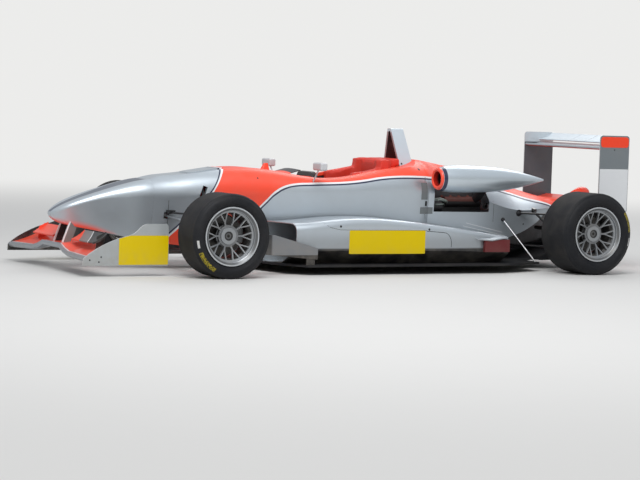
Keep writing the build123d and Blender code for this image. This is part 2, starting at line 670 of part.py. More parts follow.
# Mesh spokes: a star of split arms, cut to a dished disc
spoke_ring = 149
spoke_root = 88
spoke_angle = 360 / spoke_count / 4


def spoke_star():
    star = Circle(spoke_ring + 14) - Circle(spoke_ring) + Circle(68)
    arm = Pos(78, 0) * Rectangle(34, 11)
    root = Vector(spoke_root, 0)
    for sign in (1, -1):
        tip = Vector(spoke_ring + 3, 0).rotate(Axis.Z, sign * spoke_angle)
        middle, run = (tip + root) / 2, tip - root
        leg = Rectangle(run.length + 6, 7.5)
        arm = arm + Pos(middle.X, middle.Y) * Rot(0, 0, degrees(atan2(run.Y, run.X))) * leg
    for step in range(spoke_count):
        star = star + Rot(0, 0, step * 360 / spoke_count) * arm
    plane = Plane(origin=(0, 0, 0), x_dir=(1, 0, 0), z_dir=(0, -1, 0))
    return extrude(plane * (star - Circle(30)), 200, both=True)


star_block = spoke_star()


def rim_solid(half):
    face_y, back_y, edge = half - 62, half - 78, spoke_ring + 12
    dish = revolve(make_face(Polyline(
        (20, face_y), (70, face_y), (edge, half - 28), (edge, half - 44), (70, back_y), (66, half - 84),
        (20, half - 84), close=True)), Axis.Y)
    return revolve(barrel_profile(half), Axis.Y) + (star_block & dish)


def hub_solid(half):
    """Wheel nut, hub flange, brake disc and stub shaft."""
    nut_y, face_y, flange_y = half - nut_depth, half - 62, half - 84 - joint_gap
    disc_y = half - brake_disc_depth
    disc_half = brake_disc_thickness / 2
    nut = revolve(make_face(Polyline(
        (0, nut_y - 4), (27, nut_y - 4), (27, nut_y), (52, nut_y), (54, face_y + joint_gap),
        (0, face_y + joint_gap), close=True)), Axis.Y)
    hub = revolve(make_face(Polyline(
        (0, face_y), (30 - joint_gap, face_y), (30 - joint_gap, flange_y), (64, flange_y), (64, half - 94),
        (70, half - 96), (70, disc_y + 8), (brake_disc_radius, disc_y + disc_half),
        (brake_disc_radius, disc_y - disc_half), (60, disc_y - disc_half), (60, half - 102),
        (stub_radius, half - 102), (stub_radius, half - 225), (0, half - 225), close=True)), Axis.Y)
    return hub + nut


for end, spec, x in (("front", front_wheel, front_axle_x), ("rear", rear_wheel, rear_axle_x)):
    half = spec["width"] / 2
    place = Pos(x, spec["lip_y"] - half, spec["tyre"])
    tyre = place * revolve(tyre_profile(spec["tyre"], half, spec["bulge"]), Axis.Y)
    rim = place * rim_solid(half)
    hub = place * hub_solid(half)
    if end == "rear":
        hub = hub + rod((x, spec["lip_y"] - 220, spec["tyre"]), (x, 145, spec["tyre"]), 14)
    for piece, solid in (("tyre", tyre), ("rim", rim), ("hub", hub)):
        save(f"{piece}_{end}_left", solid)
        save(f"{piece}_{end}_right", solid.mirror(Plane.XZ))

# Front knuckles
top_ball = Vector(front_axle_x, kingpin_top_y, axle_z + kingpin_top_above_axle)
low_ball = Vector(front_axle_x, kingpin_low_y, axle_z - kingpin_low_below_axle)
kingpin = (top_ball - low_ball).normalized()
caliper_radius = 134


def upright(x, z, disc_y, caliper_side):
    """Bearing housing, its web up and down to the ball pins, and the caliper over the disc."""
    bearing_in = disc_y - 75
    bearing_out = disc_y - 21
    bearing_mid = (bearing_in + bearing_out) / 2
    body = Pos(x, bearing_mid, z) * Rot(90, 0, 0) * Cylinder(42, bearing_out - bearing_in)
    body = body + Pos(x, bearing_mid, z) * Box(46, 30, 196)
    at_disc = Pos(x, disc_y, z) * Rot(90, 0, 0)
    bore = at_disc * Cylinder(stub_radius + shaft_gap, 400)
    caliper = (Pos(x + caliper_side * 100, disc_y, z) * Box(56, 62, 96)) & (at_disc * Cylinder(caliper_radius, 200))
    caliper = caliper - at_disc * Cylinder(brake_disc_radius + 4, brake_disc_thickness + 10)
    lug = Pos(x + caliper_side * 62, disc_y - 24.5, z) * Box(90, 8, 40)
    return (body - bore) + caliper + (lug - bore)


def ball_pins(top, low, axis):
    low_pin = rod(low - axis * 14, low + axis * 40, ball_pin_radius)
    return low_pin + rod(top - axis * 40, top + axis * 14, ball_pin_radius)


front_disc_y = front_wheel["lip_y"] - brake_disc_depth
knuckle = upright(front_axle_x, axle_z, front_disc_y, -1) + ball_pins(top_ball, low_ball, kingpin)
arm_start = 30
arm_length = steering_arm + 18 - arm_start
arm = Pos(front_axle_x + arm_start + arm_length / 2, tie_y, tie_z - 20) * Box(arm_length, 20, 12)
pin = Pos(rack_x, tie_y, tie_z - 4) * Cylinder(ball_pin_radius, 34)
knuckle = knuckle + arm + pin
save("knuckle_front_left", knuckle)
save("knuckle_front_right", knuckle.mirror(Plane.XZ))


def wishbone(ball, axis, inner_points):
    """Two blades from the ball eye to the inner points."""
    plane = Plane(origin=ball - axis * 7, z_dir=axis)
    piece = extrude(plane * Circle(13), 14)
    for point in inner_points:
        piece = piece + blade(ball, point, 30, 14)
    return piece - extrude(Plane(origin=ball - axis * 60, z_dir=axis) * Circle(ball_pin_radius + eye_gap), 120)


front_points = [Vector(fore(95), 160, 372), Vector(fore(-275), 182, 366)]
front_upper = wishbone(top_ball, kingpin, front_points)
front_lower = wishbone(low_ball, kingpin, [(fore(60), 50, 128), (fore(-205), 50, 106)])
save("front_wishbones", *both_sides(front_upper - tub_outer, front_lower - keel_block))


def push_link(foot, head, seat_z):
    """Pushrod with its foot trimmed level on the wishbone below it."""
    low = foot + (foot - head) * 0.1
    return rod(low, head, 9) - Pos(foot.X, foot.Y, seat_z - 100) * Box(300, 300, 200)


push_foot = Vector(fore(-10), 655, 166)
push_slot = Vector(push_slot_x, 190, push_slot_z)
save("front_pushrods", *both_sides(push_link(push_foot, push_slot + (push_slot - push_foot) * 0.15, 160.8)))

# Rear uprights and suspension
rear_z = rear_wheel["tyre"]
rear_disc_y = rear_wheel["lip_y"] - brake_disc_depth
rear_web_y = rear_disc_y - 48
rear_ball_height = 112
rear_top = Vector(rear_axle_x, rear_web_y, rear_z + rear_ball_height)
rear_low = Vector(rear_axle_x, rear_web_y, rear_z - rear_ball_height)
up = Vector(0, 0, 1)
save("rear_uprights", *both_sides(
    upright(rear_axle_x, rear_z, rear_disc_y, 1) + ball_pins(rear_top, rear_low, up)))
rear_upper = wishbone(rear_top, up, [wishbone_mount, (tail(-175), 60, 372)]) - gearbox
rear_lower = wishbone(rear_low, up, [(tail(310), 100, 160), (tail(-180), 60, 250)]) - gearbox
save("rear_wishbones", *both_sides(rear_upper, rear_lower))
rear_push_foot = Vector(tail(42), 620, 178)
rear_push = push_link(rear_push_foot, push_mount + (push_mount - rear_push_foot) * 0.05, 172.4)
save("rear_pushrods", *both_sides(rear_push))

# Floor stays
stay_foot = Vector(tail(297), 590, floor_top + 6)
stay = rod(stay_mount, stay_foot, 6) - cover
save("floor_stays", *both_sides(stay))

# Brackets that carry the wishbones, pushrods and stays
brackets = []
for point in front_points:
    block = Pos(point.X, 190, point.Z + 5) * Box(44, 50, 22) - tub_outer - front_upper
    brackets.append(block.solids().sort_by(SortBy.VOLUME)[-1])
brackets.append(Pos(*wishbone_mount) * Sphere(20) - rear_upper - gearbox)
brackets.append(Pos(*push_mount) * Sphere(15) - rear_push)
brackets.append(Pos(*stay_mount) * Sphere(14) - stay - cover)
save("suspension_brackets", *both_sides(*brackets))

for name, shape in nodes.items():
    export_step(shape, f"parts/{name}.step")
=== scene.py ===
import bpy
import bmesh
import math
from mathutils import Matrix, Vector
from mathutils.bvhtree import BVHTree


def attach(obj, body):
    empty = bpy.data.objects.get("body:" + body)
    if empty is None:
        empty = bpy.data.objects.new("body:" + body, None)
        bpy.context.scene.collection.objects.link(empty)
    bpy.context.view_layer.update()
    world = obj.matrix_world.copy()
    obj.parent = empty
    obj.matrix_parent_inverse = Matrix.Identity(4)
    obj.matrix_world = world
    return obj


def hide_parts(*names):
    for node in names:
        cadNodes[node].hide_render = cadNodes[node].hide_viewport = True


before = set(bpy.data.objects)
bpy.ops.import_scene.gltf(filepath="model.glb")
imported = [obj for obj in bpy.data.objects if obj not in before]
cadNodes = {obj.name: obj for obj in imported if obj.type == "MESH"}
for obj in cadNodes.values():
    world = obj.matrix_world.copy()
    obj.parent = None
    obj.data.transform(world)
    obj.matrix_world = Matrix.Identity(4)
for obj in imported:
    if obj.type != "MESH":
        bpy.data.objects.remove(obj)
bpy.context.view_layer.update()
print("frame loaded,", len(cadNodes), "parts")

# Colours by name, linear
paints = {
    "silver": (0.56, 0.62, 0.67), "silverPale": (0.66, 0.74, 0.80), "orange": (1.0, 0.075, 0.030),
    "white": (0.86, 0.87, 0.88), "navy": (0.012, 0.018, 0.06), "yellow": (0.74, 0.54, 0.0),
    "black": (0.012, 0.012, 0.014), "carbon": (0.020, 0.021, 0.023), "dust": (0.30, 0.27, 0.23),
    "boxRed": (0.13, 0.004, 0.007), "underside": (0.20, 0.19, 0.185),
}
# Wheel centres, and how far out the rim lips stand, in metres
wheels = {"front": {"x": 1.210, "z": 0.266, "lip": 0.909}, "rear": {"x": -1.560, "z": 0.278, "lip": 0.903}}
bothSides = ((1, "Left"), (-1, "Right"))


def smoothSurface(obj, angle=35):
    for poly in obj.data.polygons:
        poly.use_smooth = True
    obj.data.set_sharp_from_angle(angle=math.radians(angle))


def newObject(name, bm):
    mesh = bpy.data.meshes.new(name)
    bm.to_mesh(mesh)
    bm.free()
    obj = bpy.data.objects.new(name, mesh)
    bpy.context.scene.collection.objects.link(obj)
    return obj


def newPiece(name, bm, paintName, body="chassis", angle=35):
    bm.normal_update()
    obj = newObject(name, bm)
    obj.data.materials.append(paint[paintName])
    smoothSurface(obj, angle)
    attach(obj, body)
    return obj


# A value in a shader tree. Sums and products of signals become math nodes.
class signal:
    def __init__(self, socket):
        self.socket = socket
        self.tree = socket.id_data

    def __add__(self, other):
        return calc(self.tree, "ADD", self, other)

    def __sub__(self, other):
        return calc(self.tree, "SUBTRACT", self, other)

    def __rsub__(self, other):
        return calc(self.tree, "SUBTRACT", other, self)

    def __mul__(self, other):
        return calc(self.tree, "MULTIPLY", self, other)

    def __truediv__(self, other):
        return calc(self.tree, "DIVIDE", self, other)

    def __abs__(self):
        return calc(self.tree, "ABSOLUTE", self)


def addNode(tree, kind, **settings):
    node = tree.nodes.new("ShaderNode" + kind)
    for key, value in settings.items():
        setattr(node, key, value)
    return node


def feed(socket, value):
    if isinstance(value, signal):
        value.tree.links.new(value.socket, socket)
    elif socket.type == "RGBA":
        socket.default_value = (*paints.get(value, value), 1)
    else:
        socket.default_value = value


def nodeOutput(tree, kind, inputs, output, **settings):
    node = addNode(tree, kind, **settings)
    for key, value in inputs.items():
        feed(node.inputs[key], value)
    return signal(node.outputs[output])


def calc(tree, operation, *values):
    return nodeOutput(tree, "Math", dict(enumerate(values)), 0, operation=operation)


def clamped(value):
    value.socket.node.use_clamp = True
    return value


def most(first, *others):
    for other in others:
        first = calc(first.tree, "MAXIMUM", first, other)
    return first


def sine(value):
    return calc(value.tree, "SINE", value)


def sign(value):
    return calc(value.tree, "SIGN", value)


def ramp(value, low, high, smooth=True):
    return nodeOutput(value.tree, "MapRange", {"Value": value, "From Min": low, "From Max": high}, "Result",
                      interpolation_type="SMOOTHSTEP" if smooth else "LINEAR")


def between(value, low, high, soft):
    return ramp(value, low - soft, low + soft) * ramp(value, high + soft, high - soft)


def blendColor(mask, first, second):
    return nodeOutput(mask.tree, "Mix", {"Factor": mask, "A": first, "B": second}, "Result", data_type="RGBA")


def blendValue(mask, first, second):
    return nodeOutput(mask.tree, "Mix", {0: mask, 2: first, 3: second}, 0, data_type="FLOAT")


def layered(color, *layers):
    for mask, over in layers:
        color = blendColor(mask, color, over)
    return color


def darken(color, mask, low, factor):
    inputs = {"Factor": factor, "A": color, "B": blendColor(mask, (low,) * 3, (1.0,) * 3)}
    return nodeOutput(mask.tree, "Mix", inputs, "Result", data_type="RGBA", blend_type="MULTIPLY")


def scaled(color, factor, lift=0.0):
    return tuple(min(1, c * factor + lift) for c in color)


def ownPlace(tree):
    return nodeOutput(tree, "TexCoord", {}, "Object")


def surfaceNormal(tree):
    return nodeOutput(tree, "NewGeometry", {}, "Normal")


def split(vector):
    node = addNode(vector.tree, "SeparateXYZ")
    feed(node.inputs[0], vector)
    return [signal(output) for output in node.outputs]


def place(tree):
    return split(ownPlace(tree))


def facing(tree):
    return split(surfaceNormal(tree))


def outward(tree):
    return sign(place(tree)[1]) * facing(tree)[1]


def edgeOn(tree):
    return ramp(abs(facing(tree)[1]), 0.5, 0.35)


def reach(first, second):
    return calc(first.tree, "SQRT", first * first + second * second)


def fromWheel(tree):
    x, y, z = place(tree)
    front = calc(tree, "GREATER_THAN", x, 0.0)
    dx = x - blendValue(front, wheels["rear"]["x"], wheels["front"]["x"])
    dz = z - blendValue(front, wheels["rear"]["z"], wheels["front"]["z"])
    return dx, dz, reach(dx, dz)


def noise(tree, scale, detail=3.0, vector=None, distortion=0.0):
    inputs = {"Scale": scale, "Detail": detail, "Distortion": distortion, "Vector": vector or ownPlace(tree)}
    return nodeOutput(tree, "TexNoise", inputs, "Fac")


def curveLine(x, points, domain):
    node = addNode(x.tree, "FloatCurve")
    low, high = domain
    curve = node.mapping.curves[0]
    while len(curve.points) < len(points):
        curve.points.new(0.5, 0.5)
    for point, (px, pz) in zip(curve.points, sorted(points)):
        point.location = ((px / 1000 - low) / (high - low), pz / 1000)
    node.mapping.update()
    feed(node.inputs["Value"], ramp(x, low, high, smooth=False))
    return signal(node.outputs[0])


def openGroup(name, **inputs):
    group = bpy.data.node_groups.new(name, "ShaderNodeTree")
    for label, value in inputs.items():
        group.interface.new_socket(label, in_out="INPUT", socket_type="NodeSocketFloat").default_value = value
    source = group.nodes.new("NodeGroupInput")
    return group, [signal(source.outputs[label]) for label in inputs]


def closeGroup(group, **outputs):
    for label in outputs:
        group.interface.new_socket(label, in_out="OUTPUT", socket_type="NodeSocketFloat")
    sink = group.nodes.new("NodeGroupOutput")
    for label, value in outputs.items():
        feed(sink.inputs[label], value)
    return group


def useGroup(tree, group, **values):
    node = addNode(tree, "Group", node_tree=group)
    for label, value in values.items():
        node.inputs[label].default_value = value
    return {output.name: signal(output) for output in node.outputs}


# Effects that several materials share
def makeGrain():
    group, (scale, contrast) = openGroup("surfaceGrain", Scale=60.0, Contrast=1.0)
    coarse, fine = noise(group, scale * 0.12, 4.0), noise(group, scale, 2.0)
    both = coarse * 0.6 + fine * 0.4
    return closeGroup(group, Shade=(both - 0.5) * contrast + 0.5, Height=fine)


def makeEdgeWear():
    group, (width, amount) = openGroup("edgeWear", Width=0.003, Amount=0.6)
    bevel = nodeOutput(group, "Bevel", {"Radius": width}, 0, samples=4)
    dot = nodeOutput(group, "VectorMath", {0: bevel, 1: surfaceNormal(group)}, "Value", operation="DOT_PRODUCT")
    bent = ramp(dot, 0.99, 0.86)
    broken = ramp(noise(group, 90.0, 5.0), 0.42, 0.62)
    return closeGroup(group, Mask=bent * broken * amount)


def makeRoadGrime():
    group, (level, amount, film) = openGroup("roadGrime", Level=0.25, Amount=0.5, Film=0.08)
    low = clamped(1.0 - place(group)[2] / level)
    patch = ramp(noise(group, 7.0, 6.0, distortion=0.6), 0.35, 0.7)
    streak = ramp(noise(group, 34.0, 4.0), 0.35, 0.75)
    splash = low * amount * (patch * 0.6 + streak * 0.5)
    return closeGroup(group, Mask=clamped(splash + film * patch))


def makeCarbonWeave():
    group, (scale,) = openGroup("carbonWeave", Scale=420.0)
    x, y, z = place(group)
    across, along = (x + z * 0.6) * scale, (y + z * 0.8) * scale
    twill = sine(across + along)
    weave = sign(twill) * sine(across - along)
    return closeGroup(group, Shade=weave * 0.5 + 0.5, Height=twill * 0.5 + 0.5)


# The paint scheme: borders given as height over the length, both in millimetres. Stripe widths are in metres.
livery = {
    "rearBorder": [
        (-1740, 428), (-1610, 440), (-1565, 457), (-1418, 490), (-1298, 525), (-900, 600), (-588, 630), (-459, 636),
        (-332, 635), (-205, 626), (-38, 602), (87, 590), (332, 580), (440, 574), (510, 560), (573, 530), (639, 466),
        (693, 409), (900, 190), (2150, 0)],
    "frontBorder": [
        (-1740, 990), (800, 990), (860, 720), (885, 678), (927, 631), (996, 530), (1018, 497), (1240, 258),
        (1307, 192), (1420, 60), (2150, 0)],
    "bellyBorder": [
        (-1740, 0), (1500, 0), (1640, 215), (1700, 243), (1870, 295), (1973, 306), (2063, 324), (2150, 334)],
    "domain": (-1.74, 2.15), "steepRear": (0.45, 0.60), "rearSlope": 0.69, "frontSlope": 0.67,
    "white": 0.012, "navy": 0.010, "soft": 0.0012,
}


def makeLivery():
    group = openGroup("liveryMask")[0]
    x, y, z = place(group)
    borders = ("rearBorder", "frontBorder", "bellyBorder")
    rearZ, frontZ, bellyZ = (curveLine(x, livery[key], livery["domain"]) for key in borders)
    toRear = (z - rearZ) * blendValue(ramp(x, *livery["steepRear"]), 1.0, livery["rearSlope"])
    inside = calc(group, "MINIMUM", toRear, (frontZ - z) * livery["frontSlope"])
    belly = ramp(bellyZ - z, -0.020, 0.03)
    white, navy, soft = -livery["white"], -livery["white"] - livery["navy"], livery["soft"]
    return closeGroup(group, Orange=most(ramp(inside, -0.0008, 0.0008), belly),
                      White=between(inside, white, 0.0, soft), Navy=between(inside, navy, white, soft))


grainGroup, wearGroup, grimeGroup = makeGrain(), makeEdgeWear(), makeRoadGrime()
weaveGroup, liveryGroup = makeCarbonWeave(), makeLivery()
print("shared effects ready")


def grain(tree, scale, contrast):
    made = useGroup(tree, grainGroup, Scale=scale, Contrast=contrast)
    return made["Shade"], made["Height"]


def grimeMask(tree, level, amount, film):
    return useGroup(tree, grimeGroup, Level=level, Amount=amount, Film=film)["Mask"]


def wearMask(tree, width, amount):
    return useGroup(tree, wearGroup, Width=width, Amount=amount)["Mask"]


def tune(tree, **values):
    for label, value in values.items():
        feed(tree.nodes["Principled BSDF"].inputs[label.replace("_", " ")], value)


def newMaterial(name, maker, *values, **constants):
    material = bpy.data.materials.new(name)
    material.use_nodes = True
    tune(material.node_tree, **constants)
    maker(material.node_tree, *values)
    return material


def wire(tree, color, roughness=None, height=None, strength=0.0, distance=0.001):
    tune(tree, Base_Color=color)
    if roughness:
        tune(tree, Roughness=roughness)
    if height:
        bump = {"Strength": strength, "Distance": distance, "Height": height}
        tune(tree, Normal=nodeOutput(tree, "Bump", bump, 0))


# Grime is given as level, amount and film, and the coat as weight and roughness
def finishPaint(tree, color, metallic, roughness, grime=(0.25, 0.45, 0.06), wear=0.5, coat=(0.6, 0.08)):
    shade, height = grain(tree, 140.0, 0.35)
    dirt = grimeMask(tree, *grime)
    chipped = blendColor(wearMask(tree, 0.0025, wear), darken(color, shade, 0.72, 0.35), "carbon")
    rough = clamped(dirt * 0.45 + roughness + shade * 0.06)
    wire(tree, blendColor(dirt, chipped, "dust"), rough, height, 0.03)
    clean = 1.0 - dirt
    tune(tree, Metallic=clean * metallic, Coat_Weight=clean * coat[0], Coat_Roughness=coat[1])


def bodyPaint(tree):
    zone = {"noseTopX": (1.44, 2.2), "noseTaper": (2.06, 1.50), "noseFlat": (0.6, 0.7), "tipHalf": 0.022,
            "taperHalf": 0.066, "lowSideZ": (0.30, 0.20), "lowSideY": (0.50, 0.60), "skirtZ": (0.176, 0.162),
            "skirtY": (0.36, 0.42), "skirtX": (0.80, 0.70)}
    tone = {"noseTop": (0.13, 0.16, 0.22), "lowSide": (0.29, 0.31, 0.33), "lowSideShare": 0.55}
    mask = useGroup(tree, liveryGroup)
    x, y, z = place(tree)
    side = abs(y)
    flatTop = ramp(x, *zone["noseTaper"], smooth=False) * zone["taperHalf"] + zone["tipHalf"] - side
    noseTop = ramp(flatTop, -0.002, 0.002) * between(x, *zone["noseTopX"], 0.002)
    noseTop = noseTop * ramp(facing(tree)[2], *zone["noseFlat"])
    # Painted shade: the low outer sides are darkened, as they face down into shade
    lowSide = ramp(z, *zone["lowSideZ"]) * ramp(side, *zone["lowSideY"])
    skirt = ramp(z, *zone["skirtZ"]) * ramp(side, *zone["skirtY"]) * ramp(x, *zone["skirtX"])
    stripes = [(mask[label], label.lower()) for label in ("Orange", "White", "Navy")]
    color = layered("silver", (noseTop, tone["noseTop"]), *stripes,
                    (lowSide * tone["lowSideShare"], tone["lowSide"]), (skirt, "black"))
    plain = most(*mask.values(), skirt)
    finishPaint(tree, color, blendValue(plain, 0.72, 0.0), 0.36, coat=(blendValue(plain, 0.45, 0.15), 0.18))


def frontWingPaint(tree):
    zone = {"noseHalf": 0.14, "sweep": 0.0594, "edgeX": 2.062, "orange": (0.026, 0.028), "white": (0.017, 0.027)}
    x, y, z = place(tree)
    behind = most(abs(y) - zone["noseHalf"], 0.0) * zone["sweep"] + zone["edgeX"] - x
    upper = ramp(facing(tree)[2], 0.05, 0.2)
    orange = ramp(behind, *zone["orange"]) * upper
    white = between(behind, *zone["white"], 0.001) * upper
    color = layered((0.36, 0.39, 0.43), (orange, "orange"), (white, "white"))
    finishPaint(tree, color, blendValue(orange, 0.6, 0.0), 0.32, (0.3, 0.5, 0.05))


def flapPaint(tree):
    zone = {"startX": 1.98, "slope": 1.3, "band": (0.165, 0.288), "fence": (0.424, 0.434), "outer": (0.430, 0.434)}
    x, y, z = place(tree)
    slant = y - (x - zone["startX"]) * zone["slope"]
    # On the left flap the diagonal orange band is a painted reflection of the orange main plane
    pattern = layered("underside", (between(slant, *zone["band"], 0.002), "orange"),
                      (ramp(slant, *zone["outer"]), "carbon"),
                      (between(slant, *zone["fence"], 0.001), "white"))
    color = blendColor(ramp(y, 0.0, 0.01), "orange", pattern)
    finishPaint(tree, color, 0.05, 0.4, (0.3, 0.3, 0.05), coat=(0.3, 0.2))


def pylonPaint(tree):
    zone = {"leadX": 2.012, "leadZ": 0.160, "leadSlope": 0.376, "strip": (0.010, 0.008), "bandZ": 0.177,
            "bandSlope": 0.55, "band": (1.893, 1.947)}
    x, y, z = place(tree)
    lead = zone["leadX"] - (z - zone["leadZ"]) * zone["leadSlope"]
    outer = ramp(outward(tree), 0.3, 0.6)
    band = outer * between(x + (z - zone["bandZ"]) * zone["bandSlope"], *zone["band"], 0.001)
    color = layered("carbon", (outer, "underside"), (band, "orange"),
                    (ramp(lead - x, *zone["strip"]), (0.86, 0.88, 0.90)))
    finishPaint(tree, color, 0.0, 0.4, (0.3, 0.3, 0.05), 0.2)


def platePaint(tree, outer, inner, edge, grime=(0.3, 0.5, 0.08)):
    color = layered(inner, (ramp(outward(tree), -0.4, 0.1), outer), (edgeOn(tree), edge))
    finishPaint(tree, color, 0.35, 0.36, grime)


def rearPlatePaint(tree):
    # Inner face: painted shade below the main plane and a painted sky highlight above it
    inner = blendColor(ramp(place(tree)[2], 0.864, 0.876), (0.075, 0.078, 0.095), (0.68, 0.74, 0.78))
    platePaint(tree, (0.20, 0.23, 0.25), inner, (0.6, 0.62, 0.64), (0.5, 0.3, 0.08))


def podPaint(tree):
    zone = {"axisY": 0.402, "axisZ": 0.622, "band": (-0.608, -0.582), "lip": (-0.5805, -0.5795),
            "boreR": (0.0512, 0.0506), "boreX": (-1.0, -0.572), "boreDark": (-0.590, -0.615), "neckR": (0.0965, 0.0975)}
    x, y, z = place(tree)
    radius = reach(y - zone["axisY"], z - zone["axisZ"])
    band, lip = between(x, *zone["band"], 0.0008), ramp(x, *zone["lip"])
    throat = ramp(radius, *zone["boreR"]) * between(x, *zone["boreX"], 0.001)
    neck = ramp(radius, *zone["neckR"])
    bore = blendColor(ramp(x, *zone["boreDark"]), (0.50, 0.02, 0.012), "black")
    color = layered("silverPale", (band, "navy"), (lip, "orange"), (throat, bore),
                    (neck, "black"))
    metallic = blendValue(most(band, lip, throat, neck), 0.75, 0.0)
    finishPaint(tree, color, metallic, 0.3, (0.5, 0.1, 0.05), 0.2)


def carbonSheet(tree, gloss, grime, coat):
    tune(tree, Specular_IOR_Level=coat[0])
    color = blendColor(useGroup(tree, weaveGroup)["Shade"], "carbon", (0.034, 0.035, 0.038))
    finishPaint(tree, color, 0.0, gloss, grime, 0.25, coat)


def castMetal(tree, color, roughness=0.5, scale=260.0, metallic=0.85, strength=0.25):
    tune(tree, Metallic=metallic)
    shade, height = grain(tree, scale, 1.2)
    tone = layered(blendColor(shade, scaled(color, 0.7), color), (wearMask(tree, 0.002, 0.5), scaled(color, 1.6, 0.05)),
                   (grimeMask(tree, 0.5, 0.5, 0.15), (0.05, 0.045, 0.04)))
    wire(tree, tone, shade * 0.15 + roughness, height, strength)


def tyreRubber(tree, spec):
    tone = {"dark": (0.006, 0.0065, 0.009), "light": (0.016, 0.0175, 0.021), "tread": (0.025, 0.025, 0.027),
            "yellow": (0.34, 0.27, 0.02), "dash": (0.55, 0.55, 0.54)}
    dx, dz, radius = fromWheel(tree)
    turn = calc(tree, "ARCTAN2", dz, dx)
    wall = ramp(abs(facing(tree)[1]), 0.35, 0.6)
    outer = ramp(outward(tree), 0.3, 0.6) * wall
    rings = sine(radius * 2100.0) * (between(radius, *spec["rings"], 0.002) * wall)
    shade, height = grain(tree, 520.0, 1.3)
    dusty = ramp(noise(tree, 9.0, 6.0, distortion=0.5), 0.3, 0.75) * 0.55
    inner, rim = spec["marks"]
    yellow = outer * between(radius, inner, rim, 0.0015) * ramp(noise(tree, 150.0, 2.0), 0.42, 0.50)
    yellow = yellow * between(turn, *spec["yellowArc"], 0.006)
    dash = outer * between(radius, inner + 0.007, rim - 0.004, 0.0015) * between(turn, *spec["dashArc"], 0.006)
    color = layered(blendColor(shade, tone["dark"], tone["light"]), ((1.0 - wall) * 0.6, tone["tread"]),
                    (dusty * blendValue(wall, 0.13, 0.05), "dust"), (yellow, tone["yellow"]),
                    (dash, tone["dash"]))
    roughness = clamped(blendValue(wall, 0.72, 0.5) + dusty * 0.25)
    wire(tree, color, roughness, height * 0.3 + rings * 0.7, 0.5, 0.0012)


def fabric(tree, dark, light, scale=900.0):
    x, y, z = place(tree)
    weave = sine((x + z) * scale) * sine((y + z * 0.5) * scale) * 0.5 + 0.5
    wire(tree, blendColor(weave * grain(tree, 80.0, 1.0)[0], dark, light), None, weave, 0.4, 0.0006)


def vinyl(tree, color):
    shade, height = grain(tree, 700.0, 0.8)
    tone = layered(scaled(color, 0.72), (shade, color), (grimeMask(tree, 0.1, 0.0, 0.18), scaled(color, 0.5)))
    wire(tree, tone, shade * 0.2 + 0.38, height, 0.35, 0.0006)


def rimAlloy(tree, lipY):
    shape = {"dish": (0.070, 0.161), "faceDepth": 0.078, "dishRise": 0.034, "lip": (0.174, 0.178),
             "well": (0.164, 0.177), "centre": (0.150, 0.060), "wellShare": 0.8, "centreShare": 0.5}
    tone = {"face": (0.34, 0.36, 0.38), "lip": (0.60, 0.63, 0.66), "behind": (0.020, 0.020, 0.022),
            "centre": (0.10, 0.10, 0.105), "well": (0.10, 0.105, 0.11)}
    radius = fromWheel(tree)[2]
    rise = ramp(radius, *shape["dish"], smooth=False) * shape["dishRise"]
    depth = lipY - abs(place(tree)[1])
    # Painted shade: the barrel inboard of the spoke face is near black, as the inside of the wheel lies in shade
    behind = ramp(depth - shape["faceDepth"] + rise, -0.004, 0.002)
    color = layered(tone["face"], (ramp(radius, *shape["lip"]), tone["lip"]), (behind, tone["behind"]),
                    (ramp(radius, *shape["centre"]) * shape["centreShare"], tone["centre"]),
                    (between(radius, *shape["well"], 0.001) * shape["wellShare"], tone["well"]))
    finishPaint(tree, color, (1.0 - behind) * 0.7, 0.34, (0.5, 0.25, 0.1), 0.3, (0.1, 0.3))


def hubSteel(tree):
    shape = {"faceY": (0.80, 0.82), "groove": (0.018, 0.029), "nut": (0.019, 0.017), "bore": (0.010, 0.009)}
    radius = fromWheel(tree)[2]
    nut = layered((0.36, 0.38, 0.40), (between(radius, *shape["groove"], 0.001), (0.035, 0.036, 0.040)),
                  (ramp(radius, *shape["nut"]), (0.11, 0.115, 0.12)),
                  (ramp(radius, *shape["bore"]), (0.006, 0.006, 0.007)))
    color = layered((0.055, 0.052, 0.050), (ramp(sine(radius * 5200.0), -0.6, 0.8), (0.13, 0.125, 0.12)),
                    (ramp(abs(place(tree)[1]), *shape["faceY"]), nut))
    finishPaint(tree, color, 0.75, 0.38, (0.5, 0.3, 0.12), 0.3, (0.1, 0.3))


def hoopPaint(tree):
    zone = {"edgeFacing": (0.6, 0.8), "edgeZ": (0.93, 0.92), "inward": (-0.3, -0.5)}
    # Painted shade: inward faces are near black. The red tint on the top front edge is partly the red paint and partly
    # a painted reflection.
    edge = ramp(facing(tree)[0], *zone["edgeFacing"]) * ramp(place(tree)[2], *zone["edgeZ"])
    color = layered((0.62, 0.70, 0.76), (ramp(outward(tree), *zone["inward"]), (0.022, 0.020, 0.024)),
                    (edge * 0.7, (0.30, 0.035, 0.02)))
    finishPaint(tree, color, 0.2, 0.32, (0.5, 0.0, 0.05), 0.3)


def rearWingPaint(tree):
    zone = {"jointY": (0.0985, 0.1015), "jointZ": (0.870, 0.880), "lowPlaneZ": (0.872, 0.866), "below": (-0.35, -0.6)}
    x, y, z = place(tree)
    joint = between(abs(y), *zone["jointY"], 0.0004) * ramp(z, *zone["jointZ"])
    # Painted shade: the lower plane is painted darker than the flap above it
    color = layered("silverPale", (joint, "black"), (ramp(z, *zone["lowPlaneZ"]), (0.40, 0.46, 0.50)),
                    (ramp(facing(tree)[2], *zone["below"]), (0.62, 0.05, 0.03)))
    finishPaint(tree, color, 0.35, 0.36, (0.5, 0.05, 0.08), coat=(0.5, 0.12))


